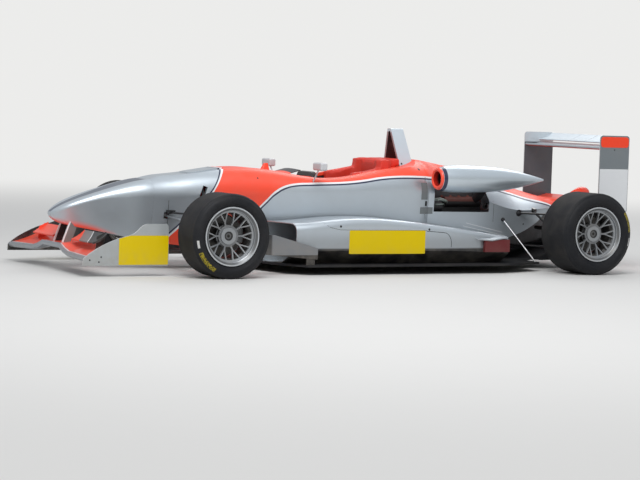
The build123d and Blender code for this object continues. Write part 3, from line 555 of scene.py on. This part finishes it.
def vanePaint(tree):
    zone = {"frontX": (0.800, 0.815), "footZ": (0.131, 0.128)}
    x, y, z = place(tree)
    # Painted shade: below the foot the vane and its strut are black, standing in for the shade under the vane
    color = layered((0.21, 0.22, 0.235), (edgeOn(tree), (0.62, 0.64, 0.65)),
                    (ramp(x, *zone["frontX"]), (0.035, 0.037, 0.042)), (ramp(z, *zone["footZ"]), "black"))
    finishPaint(tree, color, 0.3, 0.42, (0.3, 0.5, 0.12), 0.8, coat=(0.2, 0.2))


def plenumPaint(tree):
    zone = {"boxZ": (0.459, 0.464), "lidZ": (0.498, 0.502)}
    z = place(tree)[2]
    shade, height = grain(tree, 200.0, 1.0)
    color = layered((0.012, 0.010, 0.011), (ramp(z, *zone["boxZ"]), (0.17, 0.055, 0.042)),
                    (ramp(z, *zone["lidZ"]), (0.30, 0.25, 0.20)))
    wire(tree, darken(color, shade, 0.7, 0.6), None, height, 0.12)


def stainedSteel(tree):
    heat = noise(tree, 6.0, 4.0)
    shade, height = grain(tree, 300.0, 1.0)
    color = layered((0.30, 0.20, 0.13), (ramp(heat, 0.3, 0.6), (0.22, 0.21, 0.26)),
                    (ramp(shade, 0.35, 0.7), (0.42, 0.34, 0.24)))
    wire(tree, color, heat * 0.3 + 0.25, height, 0.1)


def plankWood(tree):
    stretched = nodeOutput(tree, "Mapping", {"Vector": ownPlace(tree), "Scale": (2.0, 40.0, 40.0)}, 0)
    lines = noise(tree, 1.2, 6.0, stretched, 1.0)
    wire(tree, blendColor(ramp(lines, 0.3, 0.7), (0.16, 0.095, 0.045), (0.36, 0.24, 0.12)), None, lines, 0.3)


def finStack(tree):
    x, y, z = place(tree)
    pattern = ramp(sine(z * 1800.0), -0.4, 0.6) * ramp(sine(y * 420.0), -0.9, -0.5)
    color = blendColor(pattern, (0.04, 0.04, 0.045), (0.42, 0.43, 0.45))
    wire(tree, color, noise(tree, 80.0) * 0.2 + 0.4, pattern, 0.6, 0.002)


def redLens(tree):
    x, y, z = place(tree)
    dots = ramp(sine(y * 700.0) * sine(z * 700.0), 0.1, 0.7)
    color = blendColor(dots, (0.12, 0.002, 0.004), (0.62, 0.02, 0.02))
    wire(tree, color, noise(tree, 60.0) * 0.1 + 0.12, dots, 0.5, 0.002)


def filmPanel(tree, color):
    shade, height = grain(tree, 30.0, 0.5)
    dirt = grimeMask(tree, 0.2, 0.3, 0.02)
    wire(tree, layered(scaled(color, 0.86), (shade, color), (dirt, "dust")), dirt * 0.4 + 0.3, height, 0.04)


def mirrorSilver(tree):
    haze = noise(tree, 40.0, 4.0)
    wire(tree, blendColor(ramp(haze, 0.4, 0.8), (0.86, 0.88, 0.9), (0.7, 0.7, 0.7)), haze * 0.12)


def smokedScreen(tree):
    haze = noise(tree, 30.0, 5.0)
    color = layered((0.010, 0.009, 0.012), (ramp(haze, 0.4, 0.8), (0.03, 0.027, 0.028)),
                    (ramp(place(tree)[0], 0.402, 0.406), "orange"))
    wire(tree, color, haze * 0.12 + 0.3)


frontTyre = {"rings": (0.188, 0.214), "marks": (0.226, 0.250), "yellowArc": (-1.06, -0.43), "dashArc": (-0.30, -0.10)}
rearTyre = {"rings": (0.188, 0.218), "marks": (0.245, 0.268), "yellowArc": (2.53, 3.08), "dashArc": (-3.05, -2.83)}

paint = {
    "frontPlate": newMaterial("frontPlatePaint", platePaint, (0.43, 0.46, 0.47), "carbon", "white"),
    "plenum": newMaterial("plenumMoulding", plenumPaint, Roughness=0.5),
    "carbon": newMaterial("carbonSheet", carbonSheet, 0.42, (0.16, 0.5, 0.08), (0.4, 0.1)),
    "floor": newMaterial("floorCarbon", carbonSheet, 0.8, (0.12, 0.1, 0.02), (0.0, 0.3)),
    "collar": newMaterial("collarVinyl", vinyl, (0.80, 0.045, 0.025)),
    "brake": newMaterial("hubSteel", hubSteel), "exhaust": newMaterial("exhaustSteel", stainedSteel, Metallic=1.0),
    "wood": newMaterial("plankWood", plankWood, Roughness=0.75),
    "fins": newMaterial("radiatorFins", finStack, Metallic=0.9),
    "lens": newMaterial("redLens", redLens, Coat_Weight=1.0),
    "screen": newMaterial("smokedScreen", smokedScreen, Coat_Weight=0.3, Coat_Roughness=0.25),
    "glass": newMaterial("mirrorGlass", mirrorSilver, Metallic=1.0),
    "rimFront": newMaterial("rimAlloyFront", rimAlloy, wheels["front"]["lip"]),
    "rimRear": newMaterial("rimAlloyRear", rimAlloy, wheels["rear"]["lip"]),
    "tyreFront": newMaterial("tyreRubberFront", tyreRubber, frontTyre, Specular_IOR_Level=0.22),
    "tyreRear": newMaterial("tyreRubberRear", tyreRubber, rearTyre, Specular_IOR_Level=0.22),
}
patternPaints = {"body": bodyPaint, "frontWing": frontWingPaint, "flap": flapPaint, "pod": podPaint,
                 "rearPlate": rearPlatePaint, "pylon": pylonPaint, "rearWing": rearWingPaint, "hoop": hoopPaint,
                 "vane": vanePaint}
plainPaints = {
    "boxRed": ("boxRed", 0.0, 0.5, (0.25, 0.15, 0.03), 0.3, (0.08, 0.3)),
    "orange": ("orange", 0.0, 0.34, (0.5, 0.0, 0.05), 0.3),
    "mirror": ((0.60, 0.60, 0.62), 0.1, 0.35, (0.5, 0.0, 0.05), 0.2, (0.3, 0.15)),
}
metals = {
    "satinSteel": ("steel", (0.62, 0.63, 0.64), 0.28, 500.0, 1.0, 0.05),
    "blackSteel": ("blackSteel", (0.022, 0.022, 0.024), 0.34, 400.0, 0.3, 0.05),
    "engineAlloy": ("engine", (0.16, 0.16, 0.165)), "gearboxAlloy": ("gearbox", (0.26, 0.26, 0.27)),
    "uprightAlloy": ("upright", (0.34, 0.35, 0.36), 0.36),
    "pipeAlloy": ("pipe", (0.46, 0.52, 0.48), 0.35, 300.0, 0.8, 0.05),
}
cloths = {
    "seatLining": ("seat", 0.9, 0.25, (0.010, 0.010, 0.012), (0.05, 0.05, 0.055)),
    "gripSuede": ("grip", 0.95, 0.5, (0.010, 0.010, 0.010), (0.04, 0.04, 0.042), 1400.0),
    "beltWebbing": ("belt", 0.8, 0.2, (0.10, 0.008, 0.008), (0.45, 0.03, 0.025), 1700.0),
}
films = {"yellow": paints["yellow"], "white": (0.80, 0.82, 0.84), "orange": paints["orange"],
         "grey": (0.18, 0.195, 0.20), "dark": (0.015, 0.015, 0.017)}
for key, maker in patternPaints.items():
    paint[key] = newMaterial(key + "Paint", maker)
for key, values in plainPaints.items():
    paint[key] = newMaterial(key + "Paint", finishPaint, *values)
for name, (key, *values) in metals.items():
    paint[key] = newMaterial(name, castMetal, *values)
for name, (key, roughness, sheen, *values) in cloths.items():
    paint[key] = newMaterial(name, fabric, *values, Sheen_Weight=sheen, Roughness=roughness)
for key, color in films.items():
    paint[key + "Film"] = newMaterial(key + "Film", filmPanel, color, Coat_Weight=0.05, Coat_Roughness=0.3,
                                      Specular_IOR_Level=0.15)

wearers = {
    "body": "nose_cone monocoque engine_cover sidepod_left sidepod_right cowl_covers", "pylon": "nose_pylons",
    "boxRed": "tail_boxes", "plenum": "plenum", "frontWing": "front_wing_plane", "flap": "front_wing_flaps",
    "blackSteel": "suspension_brackets front_wishbones front_pushrods rear_wishbones rear_pushrods",
    "frontPlate": "front_wing_plates", "carbon": "front_keel seat dash_bulkhead crash_structure",
    "screen": "windscreen", "collar": "cockpit_collar", "hoop": "roll_hoop", "mirror": "mirrors",
    "floor": "floor diffuser", "wood": "skid_plank", "fins": "radiators", "vane": "turning_vanes",
    "steel": "floor_stays steering_rack", "pod": "intake_pod", "engine": "engine", "gearbox": "gearbox",
    "exhaust": "exhaust", "lens": "rain_light", "rearWing": "rear_wing_planes", "rearPlate": "rear_wing_plates",
    "orange": "beam_wing tail_fairing", "grip": "steering_wheel",
    "upright": "rear_uprights rack_housing knuckle_front_left knuckle_front_right",
    "tyreFront": "tyre_front_left tyre_front_right", "tyreRear": "tyre_rear_left tyre_rear_right",
    "rimFront": "rim_front_left rim_front_right", "rimRear": "rim_rear_left rim_rear_right",
    "brake": "hub_front_left hub_front_right hub_rear_left hub_rear_right",
}
nodePaint = {name: key for key, names in wearers.items() for name in names.split()}
for name, obj in cadNodes.items():
    obj.data.materials.clear()
    obj.data.materials.append(paint[nodePaint[name]])
print("paints assigned")


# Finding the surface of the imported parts
def surfaceOf(*names):
    bm = bmesh.new()
    for name in names:
        bm.from_mesh(cadNodes[name].data)
    surface = BVHTree.FromBMesh(bm)
    bm.free()
    return surface


def hit(surface, origin, direction):
    return surface.ray_cast(Vector(origin), Vector(direction))[:2]


def fromSide(surface, x, z, side):
    return hit(surface, (x, side * 1.5, z), (0, -side, 0))


# Blank panels stuck on the bodywork, seen from the side. Each column stops at the edge of the part.
def stickPanel(name, film, surface, side, corners, radius, flatBelow, slotName):
    shape = {"lift": 0.0006, "columns": 48, "rows": 8, "edgeStep": 0.002, "shortest": 0.01}
    (x0, x1), (z0, z1) = corners
    bm = bmesh.new()
    grid = []
    for i in range(shape["columns"] + 1):
        u = x0 + (x1 - x0) * i / shape["columns"]
        edge = min(abs(u - x0), abs(u - x1))
        inset = radius - math.sqrt(max(0.0, radius ** 2 - (radius - edge) ** 2)) if edge < radius else 0.0
        low, high = z0 + inset, z1 - inset
        while high > low and fromSide(surface, u, high, side)[0] is None:
            high -= shape["edgeStep"]
        while high > low and fromSide(surface, u, max(low, flatBelow), side)[0] is None:
            low += shape["edgeStep"]
        heights = [low + (high - low) * j / shape["rows"] for j in range(shape["rows"] + 1)]
        points = [fromSide(surface, u, max(v, flatBelow), side)[0] for v in heights]
        if high - low > shape["shortest"] and None not in points:
            grid.append([bm.verts.new((u, point.y + side * shape["lift"], v)) for point, v in zip(points, heights)])
    for a, b in zip(grid, grid[1:]):
        for j in range(shape["rows"]):
            bm.faces.new((a[j], b[j], b[j + 1], a[j + 1]))
    bmesh.ops.recalc_face_normals(bm, faces=bm.faces)
    bmesh.ops.solidify(bm, geom=bm.faces[:], thickness=-shape["lift"])
    newPiece(name, bm, film, angle=50)


# Thin lines drawn on a surface, seen from the side
def seamLine(bm, surface, points, side, width, lift):
    step, still = 0.02, 1e-6
    trail = []
    for a, b in zip(points, points[1:]):
        count = max(1, int(math.dist(a, b) / step))
        for i in range(count):
            trail.append([a[k] + (b[k] - a[k]) * i / count for k in range(2)])
    hits = [fromSide(surface, x, z, side) for x, z in trail + [points[-1]]]
    hits = [found for found in hits if found[0] is not None]
    previous = None
    for i, (point, normal) in enumerate(hits):
        ahead = hits[min(i + 1, len(hits) - 1)][0] - hits[max(i - 1, 0)][0]
        if ahead.length < still:
            continue
        across = ahead.normalized().cross(normal).normalized() * width / 2
        pair = [bm.verts.new(point + normal * lift + across), bm.verts.new(point + normal * lift - across)]
        if previous:
            bm.faces.new((previous[0], previous[1], pair[1], pair[0]))
        previous = pair


def addBox(bm, matrix, size):
    bmesh.ops.create_cube(bm, size=1.0, matrix=matrix @ Matrix.Diagonal((*size, 1)))


# Screws, buttons and quarter turn fasteners, set flush on a surface. Sizes are shares of the radius and height.
stud = {"rise": 0.4, "topRadius": 0.8, "slotRise": 0.9, "slotLength": 1.3, "slotWidth": 0.22, "slotDepth": 0.3}


def addStud(bm, point, normal, radius, height=0.0015, sides=12, slot=True):
    turn = normal.to_track_quat("Z", "Y").to_matrix().to_4x4()
    middle = Matrix.Translation(point + normal * height * stud["rise"]) @ turn
    bmesh.ops.create_cone(bm, cap_ends=True, segments=sides, radius1=radius, radius2=radius * stud["topRadius"],
                          depth=height, matrix=middle)
    if slot:
        top = Matrix.Translation(point + normal * (height * stud["slotRise"])) @ turn
        addBox(bm, top, (radius * stud["slotLength"], radius * stud["slotWidth"], height * stud["slotDepth"]))


def makeCamera():
    setup = {"place": (7.4396, 13.4774, 1.1553), "yaw": 28.58, "pitch": 3.64, "roll": 1.87, "focal": 2264,
             "imageWidth": 640, "sensor": 36, "clipEnd": 400}
    yaw, pitch, roll = (math.radians(setup[key]) for key in ("yaw", "pitch", "roll"))
    look = Vector((-math.sin(yaw) * math.cos(pitch), -math.cos(yaw) * math.cos(pitch), -math.sin(pitch)))
    right = look.cross(Vector((0, 0, 1))).normalized()
    up = right.cross(look)
    axisX = right * math.cos(roll) + up * math.sin(roll)
    axisY = up * math.cos(roll) - right * math.sin(roll)
    camera = bpy.data.objects.new("camera", bpy.data.cameras.new("camera"))
    camera.data.sensor_width = setup["sensor"]
    camera.data.lens = setup["focal"] / setup["imageWidth"] * setup["sensor"]
    camera.data.clip_end = setup["clipEnd"]
    matrix = Matrix((axisX, axisY, -look)).transposed().to_4x4()
    matrix.translation = Vector(setup["place"])
    camera.matrix_world = matrix
    bpy.context.scene.collection.objects.link(camera)
    bpy.context.scene.camera = camera


stage = {"floor": (0.62, 0.615, 0.60), "sky": (0.92, 0.95, 1.0), "horizon": (0.60, 0.60, 0.59), "skyStrength": 0.62,
         "skyRise": 0.55, "backdrop": (0.84, 0.84, 0.83), "radius": 150, "fade": (3.5, 14.0),
         "lamps": [("keySoft", (2.5, 4.5, 6.5), 5.0, 420), ("rearSoft", (-4.5, -3.5, 6.0), 5.0, 170)]}


def stageFloor(tree):
    shade = grain(tree, 20.0, 0.6)[0]
    wire(tree, blendColor(shade, scaled(stage["floor"], 0.95), stage["floor"]))
    distance = nodeOutput(tree, "VectorMath", {0: ownPlace(tree)}, "Value", operation="LENGTH")
    glow = nodeOutput(tree, "Emission", {"Color": stage["backdrop"]}, 0)
    mix = {0: ramp(distance, *stage["fade"]), 1: signal(tree.nodes["Principled BSDF"].outputs[0]), 2: glow}
    feed(tree.nodes["Material Output"].inputs["Surface"], nodeOutput(tree, "MixShader", mix, 0))


def makeStage():
    bm = bmesh.new()
    bmesh.ops.create_circle(bm, cap_ends=True, segments=96, radius=stage["radius"])
    floor = newObject("stageFloor", bm)
    floor.data.materials.append(newMaterial("floorPale", stageFloor, Roughness=0.85))
    world = bpy.data.worlds.new("softSky")
    bpy.context.scene.world = world
    world.use_nodes = True
    tree = world.node_tree
    tree.nodes.clear()
    high = ramp(split(nodeOutput(tree, "TexCoord", {}, "Generated"))[2], 0.0, stage["skyRise"])
    sky = {"Color": blendColor(high, stage["horizon"], stage["sky"]), "Strength": stage["skyStrength"]}
    mix = {0: nodeOutput(tree, "LightPath", {}, "Is Camera Ray"), 1: nodeOutput(tree, "Background", sky, 0),
           2: nodeOutput(tree, "Background", {"Color": stage["backdrop"]}, 0)}
    feed(addNode(tree, "OutputWorld").inputs["Surface"], nodeOutput(tree, "MixShader", mix, 0))
    for name, spot, size, power in stage["lamps"]:
        lamp = bpy.data.lights.new(name, "AREA")
        lamp.shape = "DISK"
        lamp.size = size
        lamp.energy = power
        obj = bpy.data.objects.new(name, lamp)
        obj.location = spot
        obj.rotation_mode = "QUATERNION"
        obj.rotation_quaternion = (-Vector(spot)).to_track_quat("-Z", "Y")
        bpy.context.scene.collection.objects.link(obj)
    bpy.context.scene.view_settings.view_transform = "Standard"


makeCamera()
makeStage()
print("camera, floor and light ready")

podSurface, platesFront = surfaceOf("sidepod_left", "sidepod_right"), surfaceOf("front_wing_plates")
platesRear, skin = surfaceOf("rear_wing_plates"), surfaceOf("monocoque", "nose_cone", "engine_cover")
# Name, film, surface, x and z span, corner radius, height below which it hangs straight, slot
panels = [
    ("sidepodPanel", "yellowFilm", podSurface, ((-0.342, 0.232), (0.134, 0.288)), 0.002, 0.160, "body_silver"),
    ("frontPlatePanel", "yellowFilm", platesFront, ((1.529, 1.863), (0.074, 0.256)), 0.002, 0.0, "body_silver"),
    ("rearPlateTopPanel", "orangeFilm", platesRear, ((-2.094, -1.856), (0.860, 0.934)), 0.022, 0.0, "wing_silver"),
    ("rearPlateNumberPanel", "whiteFilm", platesRear, ((-2.096, -1.854), (0.416, 0.708)), 0.002, 0.0, "wing_silver"),
    ("upperTape", "greyFilm", skin, ((-0.548, -0.494), (0.476, 0.590)), 0.001, 0.0, "body_silver"),
    ("lowerTape", "greyFilm", skin, ((-0.596, -0.490), (0.379, 0.424)), 0.001, 0.0, "body_silver"),
    ("seamLatch", "darkFilm", skin, ((-0.545, -0.529), (0.432, 0.466)), 0.003, 0.0, "carbon"),
]
for name, film, surface, *rest in panels:
    for side, tag in bothSides:
        stickPanel(name + tag, film, surface, side, *rest)
print("blank panels placed")

# Lines as surface, width, lift and the x and z of the points that each runs through
seamPlan = [
    (skin, 0.0028, 0.0005, [
        [(1.306, 0.25), (1.309, 0.324)], [(1.311, 0.380), (1.314, 0.45)], [(-0.542, 0.628), (-0.528, 0.590)],
        [(-0.531, 0.379), (-0.540, 0.342)]]),
    (skin, 0.0022, 0.0005, [[(-1.076, 0.470), (-1.080, 0.325)]]),
    (podSurface, 0.0022, 0.0005, [[(0.432, 0.342), (0.370, 0.306), (0.300, 0.2915), (0.243, 0.2905)]]),
    (podSurface, 0.0018, 0.0005, [[(0.243, 0.2905), (-0.352, 0.2885)]]),
    (podSurface, 0.0036, 0.0005, [[
        (-0.352, 0.2835), (-0.480, 0.274), (-0.505, 0.271), (-0.522, 0.262), (-0.535, 0.248), (-0.545, 0.228),
        (-0.550, 0.205), (-0.549, 0.176)]]),
    (podSurface, 0.0016, 0.0010, [[(-0.222, 0.160), (-0.222, 0.287)]]),
]
# Painted highlights: thin white lines along the two shelf ridges, where the edges catch the light
ridgeHighlightPlan = [(skin, 0.004, 0.0007, [
    [(-0.843, 0.297), (-1.022, 0.262), (-1.190, 0.229)], [(-0.865, 0.318), (-1.020, 0.284), (-1.165, 0.254)]])]
screwPlan = [
    (platesFront, 0.0055, [(2.055, 0.105), (1.994, 0.093), (1.980, 0.1235)]),
    (podSurface, 0.008, [(0.297, 0.3134), (-0.372, 0.2946)]), (skin, 0.011, [(-0.510, 0.679)]),
    (skin, 0.006, [(-1.34, 0.31), (0.697, 0.603)]), (platesRear, 0.005, [(-1.975, 0.843)]),
    (surfaceOf("roll_hoop"), 0.007, [(-0.461, 0.7093)]),
]
seams, ridgeHighlights, screws = bmesh.new(), bmesh.new(), bmesh.new()
for side, tag in bothSides:
    for bm, plan in ((seams, seamPlan), (ridgeHighlights, ridgeHighlightPlan)):
        for surface, width, lift, lines in plan:
            for points in lines:
                seamLine(bm, surface, points, side, width, lift)
    for surface, radius, points in screwPlan:
        for x, z in points:
            point, normal = fromSide(surface, x, z, side)
            if point is not None:
                addStud(screws, point, normal, radius)
newPiece("panelSeams", seams, "darkFilm")
newPiece("shelfRidges", ridgeHighlights, "whiteFilm")
newPiece("darkScrews", screws, "blackSteel")
print("seams and screws drawn")


# Joins each ring to the next. Open ends are capped.
def bridge(bm, rings, closed=False):
    for first, second in zip(rings, rings[1:] + (rings[:1] if closed else [])):
        for k in range(len(first)):
            n = (k + 1) % len(first)
            bm.faces.new((first[k], first[n], second[n], second[k]))
    if not closed:
        bm.faces.new(rings[0][::-1])
        bm.faces.new(rings[-1])
    bmesh.ops.recalc_face_normals(bm, faces=bm.faces)


def bakeModifiers(obj):
    mesh = bpy.data.meshes.new_from_object(obj.evaluated_get(bpy.context.evaluated_depsgraph_get()))
    obj.modifiers.clear()
    obj.data = mesh


# Padded pieces, rounded and swollen by cloth. No point moves further than the cap.
padding = {"voxel": 0.006, "cap": 0.005, "fill": 0.9, "pressure": 4.0, "frames": 20}


def makePad(name, bm, paintName, rounding):
    obj = newPiece(name, bm, paintName, angle=180)
    even = obj.modifiers.new("even", "REMESH")
    even.mode = "VOXEL"
    even.voxel_size = padding["voxel"]
    bakeModifiers(obj)
    soft = bmesh.new()
    soft.from_mesh(obj.data)
    for turn in range(rounding):
        bmesh.ops.smooth_vert(soft, verts=soft.verts, factor=0.5, use_axis_x=True, use_axis_y=True, use_axis_z=True)
    soft.to_mesh(obj.data)
    soft.free()
    start = [vertex.co.copy() for vertex in obj.data.vertices]
    cloth = obj.modifiers.new("swell", "CLOTH")
    cloth.settings.use_pressure = True
    cloth.settings.uniform_pressure_force = padding["pressure"]
    cloth.settings.effector_weights.gravity = 0.0
    for step in range(1, padding["frames"] + 1):
        bpy.context.scene.frame_set(step)
    bakeModifiers(obj)
    bpy.context.scene.frame_set(1)
    for vertex, old in zip(obj.data.vertices, start):
        move = vertex.co - old
        if move.length > padding["cap"]:
            vertex.co = old + move * (padding["cap"] / move.length)
    finer = obj.modifiers.new("finer", "SUBSURF")
    finer.levels = finer.render_levels = 1
    bakeModifiers(obj)
    smoothSurface(obj, 180)
    return obj


seatPads = {
    "halfWidth": 0.150,
    "seatBackPad": [
        (-0.206, 0.176), (-0.309, 0.474), (-0.309, 0.556), (-0.288, 0.556), (-0.287, 0.478), (-0.185, 0.184)],
    "seatBasePad": [
        (-0.176, 0.131), (-0.122, 0.104), (0.116, 0.104), (0.248, 0.157), (0.240, 0.177), (0.112, 0.126),
        (-0.116, 0.126), (-0.165, 0.149)],
}
collarMesh = bmesh.new()
collarMesh.from_mesh(cadNodes["cockpit_collar"].data)
bmesh.ops.remove_doubles(collarMesh, verts=collarMesh.verts, dist=0.0001)
collarPad = makePad("collarPad", collarMesh, "collar", 5)
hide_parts("cockpit_collar")
for name in ("seatBackPad", "seatBasePad"):
    bm = bmesh.new()
    edges = (-seatPads["halfWidth"], seatPads["halfWidth"])
    bridge(bm, [[bm.verts.new((x, y, z)) for x, z in seatPads[name]] for y in edges])
    makePad(name, bm, "seat", 2)
print("pads swollen")


def smoothTrail(points, steps):
    spots = [Vector(point) for point in points]
    trail = []
    for i in range(len(spots) - 1):
        a, b = spots[i], spots[i + 1]
        before, after = spots[max(i - 1, 0)], spots[min(i + 2, len(spots) - 1)]
        for k in range(steps):
            t = k / steps
            trail.append(0.5 * (2 * a + (b - before) * t + (2 * before - 5 * a + 4 * b - after) * t ** 2
                                + (3 * a - before - 3 * b + after) * t ** 3))
    return trail + [spots[-1]]


def runAt(trail, i):
    return (trail[min(i + 1, len(trail) - 1)] - trail[max(i - 1, 0)]).normalized()


def mirrored(points, side):
    return [(x, side * y, z) for x, y, z in points]


# Webbing and its buckle, lying on the pads. Each belt is its points and its normals, for the left side.
backNormal = (0.953, 0.0, 0.302)
harness = {
    "width": 0.044, "thickness": 0.0026, "steps": 8,
    "shoulder": ([(-0.276, 0.062, 0.553), (-0.275, 0.058, 0.476), (-0.226, 0.036, 0.345), (-0.184, 0.012, 0.250)],
                 [(1, 0, 0), backNormal, backNormal, backNormal]),
    "lap": ([(-0.178, 0.016, 0.232), (-0.168, 0.090, 0.205), (-0.152, 0.140, 0.170), (-0.148, 0.168, 0.140)],
            [backNormal, backNormal, (0.9, -0.3, 0.3), (0.3, -0.9, 0.3)]),
    "crotch": ([(-0.176, 0, 0.226), (-0.150, 0, 0.160), (-0.105, 0, 0.135), (0.0, 0, 0.1325)],
               [backNormal, (0.8, 0, 0.6), (0.15, 0.0, 0.99), (0, 0, 1)]),
    "buckle": (-0.178, 0.0, 0.236), "buckleSize": (0.030, 0.014, 32), "knobOut": 0.011, "knobSize": (0.017, 0.006, 24),
}


def ribbon(bm, points, normals):
    steps = harness["steps"]
    trail = smoothTrail(points, steps)
    leans = [Vector(a).lerp(Vector(b), k / steps) for a, b in zip(normals, normals[1:]) for k in range(steps)]
    leans.append(Vector(normals[-1]))
    rings = []
    for i, (spot, normal) in enumerate(zip(trail, leans)):
        run = runAt(trail, i)
        side = run.cross(normal).normalized()
        up = side.cross(run).normalized()
        side, up = side * (harness["width"] / 2), up * (harness["thickness"] / 2)
        rings.append([bm.verts.new(spot + side * s + up * u) for s, u in ((-1, -1), (1, -1), (1, 1), (-1, 1))])
    bridge(bm, rings)


straps = bmesh.new()
for side, tag in bothSides:
    for belt in ("shoulder", "lap"):
        ribbon(straps, *(mirrored(values, side) for values in harness[belt]))
ribbon(straps, *harness["crotch"])
newPiece("harnessStraps", straps, "belt", angle=60)
buckle = bmesh.new()
buckleAt, buckleOut = Vector(harness["buckle"]), Vector(backNormal)
addStud(buckle, buckleAt, buckleOut, *harness["buckleSize"], slot=False)
addStud(buckle, buckleAt + buckleOut * harness["knobOut"], buckleOut, *harness["knobSize"])
newPiece("harnessBuckle", buckle, "steel")
print("harness laid")

# Controls on the steering wheel, with blank faces
wheelFace = {"centre": (0.2006, 0.0, 0.5586), "out": (-0.9834, 0.0, 0.1815), "screenUp": 0.010, "rounding": 0.004,
             "display": (0.004, (0.092, 0.040, 0.012)), "screen": (0.0103, (0.078, 0.028, 0.001)),
             "button": (0.0065, 0.008, 20)}
buttonPlan = {"orange": [(-0.072, 0.010), (0.094, -0.004)], "white": [(0.072, 0.010), (-0.066, -0.013)],
              "yellow": [(-0.094, -0.004), (0.066, -0.013)]}
faceOut, faceSide = Vector(wheelFace["out"]), Vector((0, 1, 0))
faceUp = faceSide.cross(faceOut)
faceTurn = Matrix((faceSide, faceUp, faceOut)).transposed().to_4x4()


def onWheel(across, up, out=0.0):
    return Vector(wheelFace["centre"]) + faceSide * across + faceUp * up + faceOut * out


display, screen = bmesh.new(), bmesh.new()
for bm, (out, size) in ((display, wheelFace["display"]), (screen, wheelFace["screen"])):
    addBox(bm, Matrix.Translation(onWheel(0, wheelFace["screenUp"], out)) @ faceTurn, size)
bmesh.ops.bevel(display, geom=display.edges[:], offset=wheelFace["rounding"], segments=2, affect="EDGES")
newPiece("wheelDisplay", display, "blackSteel", "steering_wheel")
newPiece("wheelScreen", screen, "screen", "steering_wheel")
for color, spots in buttonPlan.items():
    bm = bmesh.new()
    for across, up in spots:
        addStud(bm, onWheel(across, up), faceOut, *wheelFace["button"], slot=False)
    newPiece(color + "Buttons", bm, color + "Film", "steering_wheel")

mirror = {"x": 0.2935, "y": 0.372, "z": 0.690, "size": (0.004, 0.0945, 0.0325)}
glass = bmesh.new()
for side, tag in bothSides:
    addBox(glass, Matrix.Translation((mirror["x"], side * mirror["y"], mirror["z"])), mirror["size"])
newPiece("mirrorGlass", glass, "glass")

# Coolant pipes seen in the open side bay, with their clips: radius and route for the left side
pipeRuns = {
    0.011: [(-0.640, 0.140, 0.440), (-0.650, 0.215, 0.466), (-0.690, 0.245, 0.476), (-0.745, 0.240, 0.462),
            (-0.790, 0.180, 0.440)],
    0.009: [(-0.655, 0.140, 0.415), (-0.668, 0.225, 0.436), (-0.720, 0.240, 0.441), (-0.760, 0.180, 0.425)],
}
pipe = {"sides": 16, "steps": 10, "clips": [(-0.672, 0.256, 0.472), (-0.728, 0.256, 0.468)], "clipSize": (0.009, 0.008)}


def circleTurns(count):
    return [2 * math.pi * k / count for k in range(count)]


def pipeRun(bm, points, radius):
    trail = smoothTrail(points, pipe["steps"])
    rings = []
    for i, spot in enumerate(trail):
        run = runAt(trail, i)
        first = run.cross(Vector((0.0, 0.3, 1.0))).normalized()
        second = run.cross(first)
        rings.append([bm.verts.new(spot + (first * math.cos(turn) + second * math.sin(turn)) * radius)
                      for turn in circleTurns(pipe["sides"])])
    bridge(bm, rings)


pipes = bmesh.new()
for side, tag in bothSides:
    for radius, points in pipeRuns.items():
        pipeRun(pipes, mirrored(points, side), radius)
    for spot in mirrored(pipe["clips"], side):
        addStud(pipes, Vector(spot), Vector((0, side, 0)), *pipe["clipSize"], slot=False)
newPiece("coolantPipes", pipes, "pipe")

# Carbon shields inboard of the brake discs: partly a backing plate, partly a dark sheet standing in for the shade
# inside the wheels
shield = {"inner": 0.045, "outer": 0.137, "half": 0.001, "sides": 64, "Front": 0.7435, "Rear": 0.7375}
shieldRing = [(shield["inner"], -shield["half"]), (shield["outer"], -shield["half"]),
              (shield["outer"], shield["half"]), (shield["inner"], shield["half"])]
for end in ("Front", "Rear"):
    x, z = wheels[end.lower()]["x"], wheels[end.lower()]["z"]
    for side, tag in bothSides:
        plate = bmesh.new()
        bridge(plate, [[plate.verts.new((x + radius * math.cos(turn), side * shield[end] + depth,
                                         z + radius * math.sin(turn))) for turn in circleTurns(shield["sides"])]
                       for radius, depth in shieldRing], closed=True)
        body = "knuckle_f" + tag[0].lower() if end == "Front" else "chassis"
        newPiece("brakeShield" + end + tag, plate, "carbon", body)

# Valve stems on the rims
valve = {"angle": 0.6, "inset": 0.030, "from": 0.12, "sink": 0.004, "lean": 0.9, "base": 0.0042, "tip": 0.0034,
         "length": 0.022}
outwards = Vector((math.cos(valve["angle"]), 0, math.sin(valve["angle"])))
for end, spec in wheels.items():
    for side, tag in bothSides:
        corner = end + "_" + tag.lower()
        centre = Vector((spec["x"], side * (spec["lip"] - valve["inset"]), spec["z"]))
        point, normal = hit(surfaceOf("rim_" + corner), centre + outwards * valve["from"], outwards)
        if point is None:
            continue
        stem = bmesh.new()
        lean = Vector((-outwards.x, side * valve["lean"], -outwards.z)).to_track_quat("Z", "Y").to_matrix().to_4x4()
        matrix = Matrix.Translation(point - outwards * valve["sink"]) @ lean
        bmesh.ops.create_cone(stem, cap_ends=True, segments=12, radius1=valve["base"], radius2=valve["tip"],
                              depth=valve["length"], matrix=matrix)
        newPiece("valve_" + corner, stem, "blackSteel", "wheel_" + end[0] + tag[0].lower())
print("small parts added")
